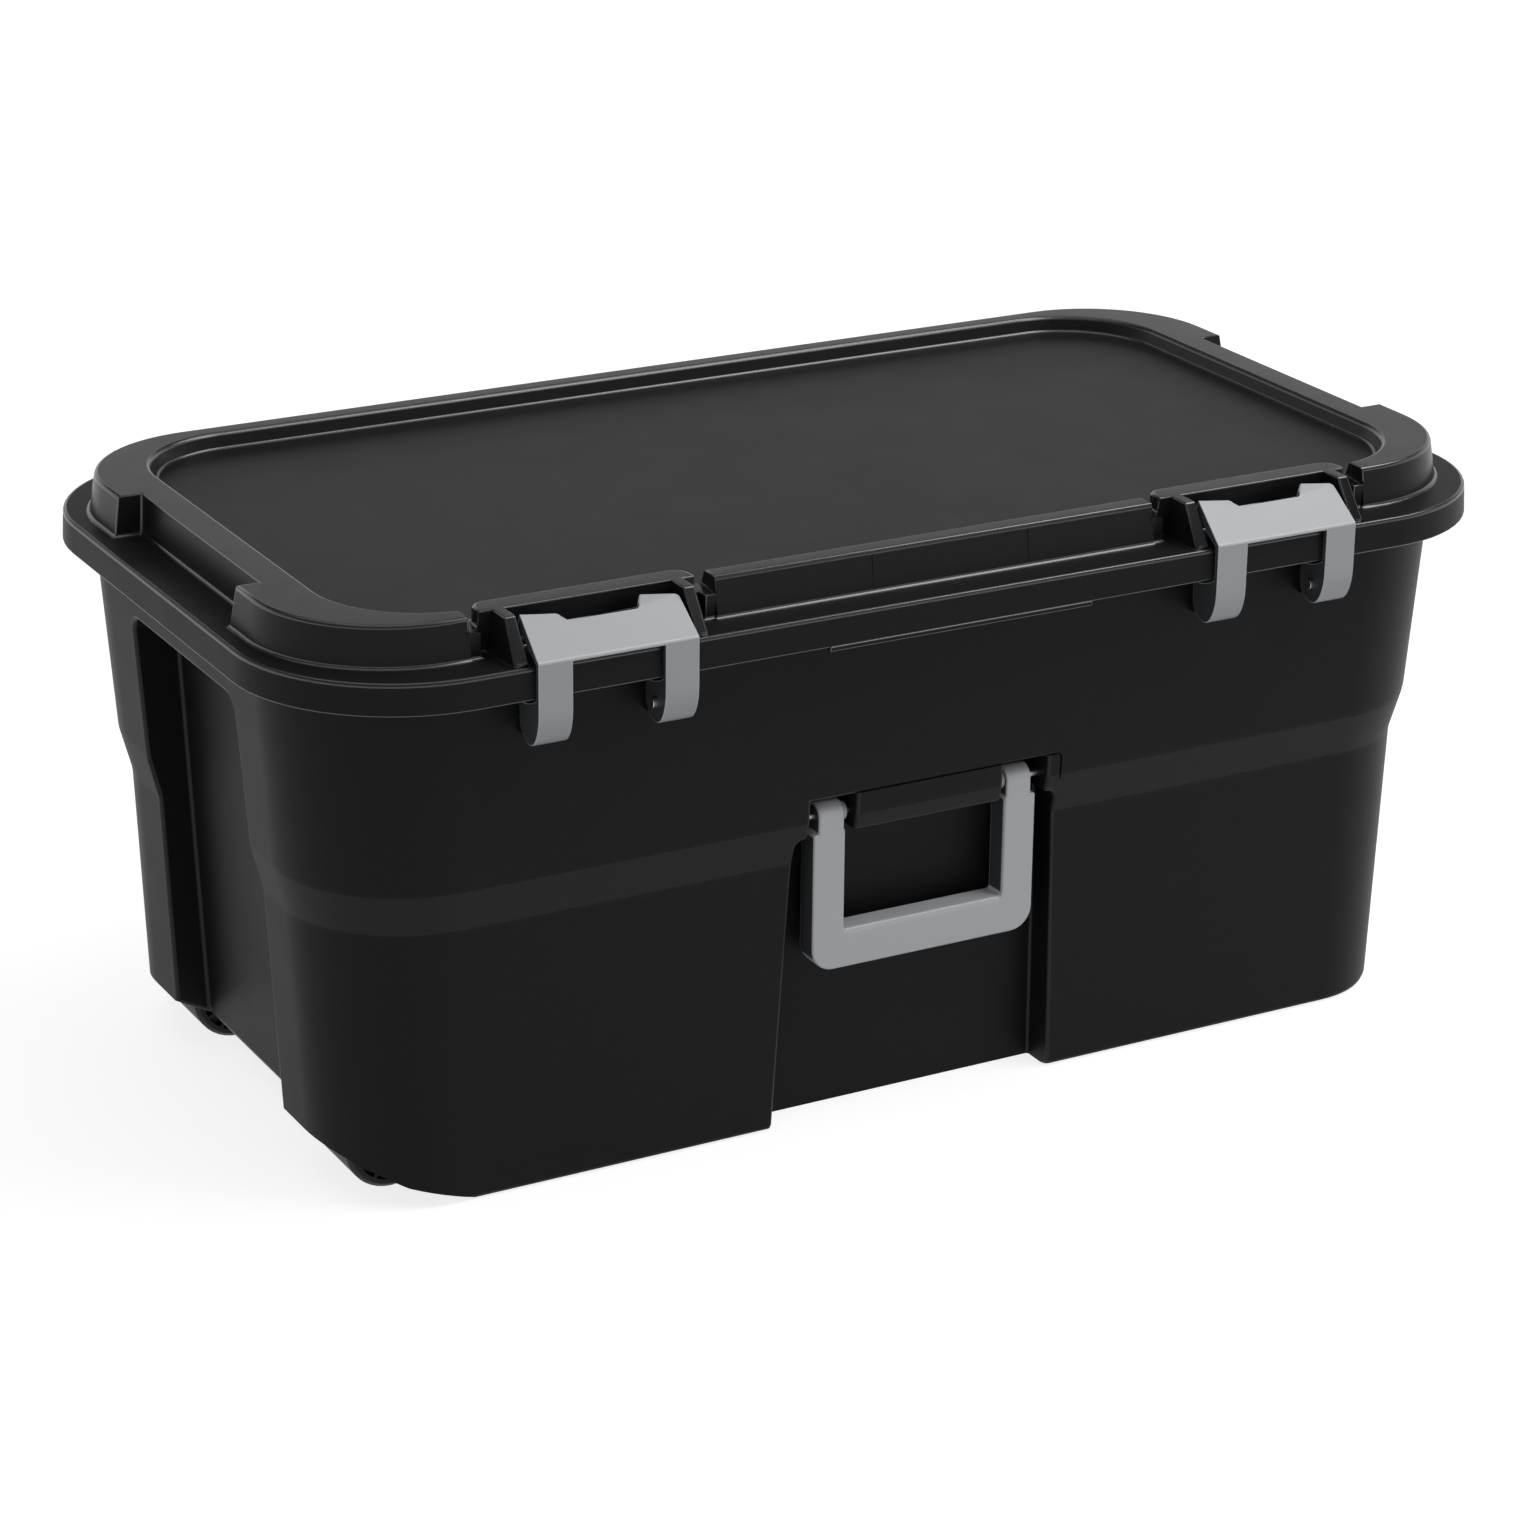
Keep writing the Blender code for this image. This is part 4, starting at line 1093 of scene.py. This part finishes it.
# %% The hairlines on the ridge
RIDGE_WALL_Y = -0.1948
RIDGE_WALL_Z = 0.3432
RIDGE_WALL_HEIGHT = 19 * MM
RIDGE_WALL_SLOPE = math.radians(-8.5)
PROUD = 0.2 * MM
SUNK = 1.0 * MM
HAIRLINE_HALF = 0.3 * MM

for word, mark_x in (("left", -0.0437), ("right", 0.0585)):
    low = (mark_x - HAIRLINE_HALF, RIDGE_WALL_Y - PROUD, RIDGE_WALL_Z - RIDGE_WALL_HEIGHT / 2)
    high = (mark_x + HAIRLINE_HALF, RIDGE_WALL_Y + SUNK, RIDGE_WALL_Z + RIDGE_WALL_HEIGHT / 2)
    hairline = box(f"ridge_mould_line_{word}", low, high, RIDGE_WALL_SLOPE)
    paint(hairline, (black, black))
    round_edges(hairline, "all", 0.12 * MM, 2, any_corner)
    finish_moulding(hairline, "lid", "lid")

# %% [markdown]
# ## The latches
#
# Each latch is one grey moulding: a plate with an ear at each end that reaches back round
# the pin, and two legs that hang over the lid's skirt and end in a round lobe. Nearly all
# of its edges get one small radius, and the plate's corners, the fold between plate and
# legs and the plate's middle edge get wider ones. The bores stay sharp.

# %% Which of a latch's edges are rounded
LATCH_HALF = 0.0485
EAR_INNER_X = 0.0235
EARS_FRONT_Y = -0.2005
PLATE_BACK_Y = -0.2033
PLATE_CORNER_Z = 0.3445
PLATE_TOP_Z = 0.3480
LEGS_TOP_Z = 0.33
LATCH_FACE_Y = -0.2247
LEANING = 0.6
FOLD_BELOW = 75
ACUTE = 100


def plate_corner(edge):
    """The corners of the plate's back edge, seen from above: two ends and two steps."""
    out = abs(abs(edge.middle.x) - LATCH_X)
    at_corner = near(out, LATCH_HALF) or near(out, EAR_INNER_X, within=1.6 * MM)
    at_back = edge.middle.y > EARS_FRONT_Y or near(edge.middle.y, PLATE_BACK_Y)
    upright = abs(edge.run.x) < HARDLY and abs(edge.run.z) > LEANING
    return at_corner and at_back and upright and edge.length > 2 * MM and edge.middle.z > PLATE_CORNER_Z


def latch_edge(edge):
    round_bore = abs(edge.run.x) < HARDLY and edge.length < 1.2 * MM
    return any_corner(edge) and edge.length > 0.6 * MM and not round_bore


def latch_fold(edge):
    at_fold = near(edge.middle.y, LATCH_FACE_Y) and edge.middle.z > LEGS_TOP_Z
    return abs(edge.run.x) > MOSTLY and at_fold and 0 < edge.bend < FOLD_BELOW


def plate_middle_edge(edge):
    at_back = near(edge.middle.y, PLATE_BACK_Y, within=0.6 * MM) and edge.middle.z > PLATE_TOP_Z
    return abs(edge.run.x) > MOSTLY and at_back and edge.bend > ACUTE


# %% [markdown]
# Where several rounds meet, the bevel lifts a point of an ear a little above the ridge. The real latch lies
# level with it, so its points are pressed down to the ridge's height. The flanks, which look along the box,
# then get a dark grey as painted shade. Small faces look that way too where edges meet, so only faces over
# ten square millimetres count.

# %% Round a latch and paint shade on its flanks
FLANK_SHADE_SLOT = 2
FLANK_AREA = 10 * MM * MM


def paint_shade_on_flanks(piece):
    """Gives the faces that look along X a dark grey, as painted shade."""
    for face in piece.data.polygons:
        if face.material_index != EDGE and abs(face.normal.x) > MOSTLY and face.area > FLANK_AREA:
            face.material_index = FLANK_SHADE_SLOT
    print(f"{piece.name}: {faces_in(piece, FLANK_SHADE_SLOT)} dark faces")


latch = moulding_from("latch_left", "latch_left_moulding", (grey, grey_edge, flank_painted_shade))
round_edges(latch, "corners of the plate", 2.4 * MM, 5, plate_corner)
weigh_edges(latch, "edges", 0.5 * MM, latch_edge)
weigh_edges(latch, "the fold", 0.9 * MM, latch_fold)
weigh_edges(latch, "the plate's middle edge", 1.0 * MM, plate_middle_edge)
round_marked(latch, 3)
for vertex in latch.data.vertices:
    vertex.co.z = min(vertex.co.z, RIDGE_Z)
finish_moulding(latch, "latch_left", "latch_left")
paint_shade_on_flanks(latch)

# %% [markdown]
# Both latches come out of the same mould, so the second is a copy of the first with its
# own mesh, moved to its place along the box.

# %% Copy the latch to the right
twin = bpy.data.objects.new("latch_right_moulding", latch.data.copy())
bpy.context.scene.collection.objects.link(twin)
twin.data.transform(Matrix.Translation((2 * LATCH_X, 0, 0)))
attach(twin, "latch_right")
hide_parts("latch_right")
print(twin.name, "copied")

# %% [markdown]
# ## The carry handle
#
# The handle is a grey U with a thick grip and two necks. Its edges are well rounded for
# the hand, and most of all the front edge on top of the grip, where the fingers close
# round it. The U's front is one dented face, so it is cut at the arms before the bevel.

# %% Round the handle's edges
ARM_INNER_X = 0.0535
GRIP_TOP_Z = 0.1235
GRIP_FRONT_Y = -0.1800


def handle_edge(edge):
    on_bore = near(edge.middle.z, PIVOT_Z, within=3 * MM) and near(edge.middle.y, PIVOT_Y, within=3 * MM)
    return any_corner(edge) and not on_bore


def grip_top(edge):
    at_top = near(edge.middle.z, GRIP_TOP_Z, within=1.0 * MM) and edge.middle.y < GRIP_FRONT_Y
    return abs(edge.run.x) > MOSTLY and at_top and edge.bend > SHARP


handle = moulding_from("carry_handle", "carry_handle_moulding", (handle_grey, grey_edge, flank_painted_shade))
cut_across(handle, (-ARM_INNER_X, ARM_INNER_X), lambda middle, normal: normal.y < -MOSTLY)
split_dented(handle, lambda middle, normal: abs(normal.y) > MOSTLY)
weigh_edges(handle, "edges", 1.3 * MM, handle_edge)
weigh_edges(handle, "grip's top", 5.0 * MM, grip_top)
round_marked(handle, 4)
finish_moulding(handle, "carry_handle", "carry_handle")
# the flanks that look along the box get a dark grey as painted shade
paint_shade_on_flanks(handle)

# %% [markdown]
# Each neck has a round boss round its pin, on the side towards the other neck. It is a
# short cylinder with a rounded rim, whose root is sunk into the neck so that no gap shows.

# %% The bosses on the necks' inner sides
BOSS_RADIUS = 5.6 * MM
BOSS_LENGTH = 5.2 * MM
BOSS_ROOT = 0.4 * MM
NECK_INNER_X = 0.0560

for word, side in (("left", -1), ("right", 1)):
    bpy.ops.mesh.primitive_cylinder_add(
        vertices=40,
        radius=BOSS_RADIUS,
        depth=BOSS_LENGTH,
        location=(side * (NECK_INNER_X - BOSS_LENGTH / 2 + BOSS_ROOT), PIVOT_Y, PIVOT_Z),
        rotation=(0, math.pi / 2, 0),
    )
    boss = bpy.context.object
    boss.name = f"handle_boss_{word}"
    paint(boss, (handle_grey, grey_edge))
    settle(boss)
    round_edges(boss, "rims", 0.8 * MM, 3, outer_rim)
    finish_moulding(boss, "carry_handle", "carry_handle")

# %% [markdown]
# ## The wheels
#
# Small solid wheels, moulded in one piece. To save plastic, each side has a sunken ring
# with ribs round a hub. The tool that is cut out of a side is a disc, less the hub and less
# six bars right across, each of which leaves two ribs standing.

# %% A tool for the wheels' sunken sides
WHEEL_X = -0.3220
WHEEL_Z = 0.0280
WHEEL_HALF = 0.0285
WHEEL_OUTER_Y = 0.1430
DISH_RADIUS = 21.5 * MM
HUB_RADIUS = 8.5 * MM
DISH_DEPTH = 4 * MM
RIB_HALF = 1.1 * MM
BARS = 6
ACROSS = 2.2
THROUGH = 3


def dish(name, face_y):
    """A disc less the hub and the bars, centred on a wheel's side."""
    center = (WHEEL_X, face_y, WHEEL_Z)
    level = (math.pi / 2, 0, 0)
    bpy.ops.mesh.primitive_cylinder_add(
        vertices=72, radius=DISH_RADIUS, depth=DISH_DEPTH * 2, location=center, rotation=level
    )
    disc = bpy.context.object
    disc.name = name
    bpy.ops.mesh.primitive_cylinder_add(
        vertices=48, radius=HUB_RADIUS, depth=DISH_DEPTH * THROUGH, location=center, rotation=level
    )
    cut_away(disc, bpy.context.object)
    for turn in range(BARS):
        bpy.ops.mesh.primitive_cube_add(size=1, location=center, rotation=(0, math.pi * turn / BARS, 0))
        bar = bpy.context.object
        bar.scale = (DISH_RADIUS * ACROSS, DISH_DEPTH * THROUGH, RIB_HALF * 2)
        cut_away(disc, bar)
    return disc


# %% [markdown]
# Both sides of each wheel are cut with that tool. The edges at the sides are then broken
# by half a millimetre, all but the axle's bore.

# %% Dish the wheels' sides and round their edges
WHEEL_MIDDLE_Y = WHEEL_OUTER_Y - WHEEL_HALF
BORE_REACH = 5 * MM


def wheel_edge(edge):
    reach = math.hypot(edge.middle.x - WHEEL_X, edge.middle.z - WHEEL_Z)
    at_side = near(abs(abs(edge.middle.y) - WHEEL_MIDDLE_Y), WHEEL_HALF, within=0.3 * MM)
    return any_corner(edge) and at_side and reach > BORE_REACH


for name, side in (("wheel_front", -1), ("wheel_back", 1)):
    wheel = moulding_from(name, name + "_moulding", (wheel_black, wheel_black))
    for face_side in (-1, 1):
        cut_away(wheel, dish(name + "_dish", side * WHEEL_MIDDLE_Y + face_side * WHEEL_HALF))
    weigh_edges(wheel, "edges", 0.5 * MM, wheel_edge)
    round_marked(wheel, 2)
    finish_moulding(wheel, name, name)

# %% [markdown]
# ## The pins and axles
#
# Each is a length of steel wire, cut and with its ends broken by a small radius. They are
# all made alike, so one loop goes through the nodes, and the record says which body each
# one rides on.

# %% Break the pins' ends
bodies = frame["record"]["behaviour"]["bodies"]
body_of = {node: body for body, nodes in bodies.items() for node in nodes}
for node in sorted(body_of):
    if "pin" not in node and not node.startswith("axle"):
        continue
    pin = moulding_from(node, node + "_wire", (steel, steel))
    weigh_edges(pin, "ends", 0.3 * MM, outer_rim)
    round_marked(pin, 2)
    finish_moulding(pin, body_of[node], node)
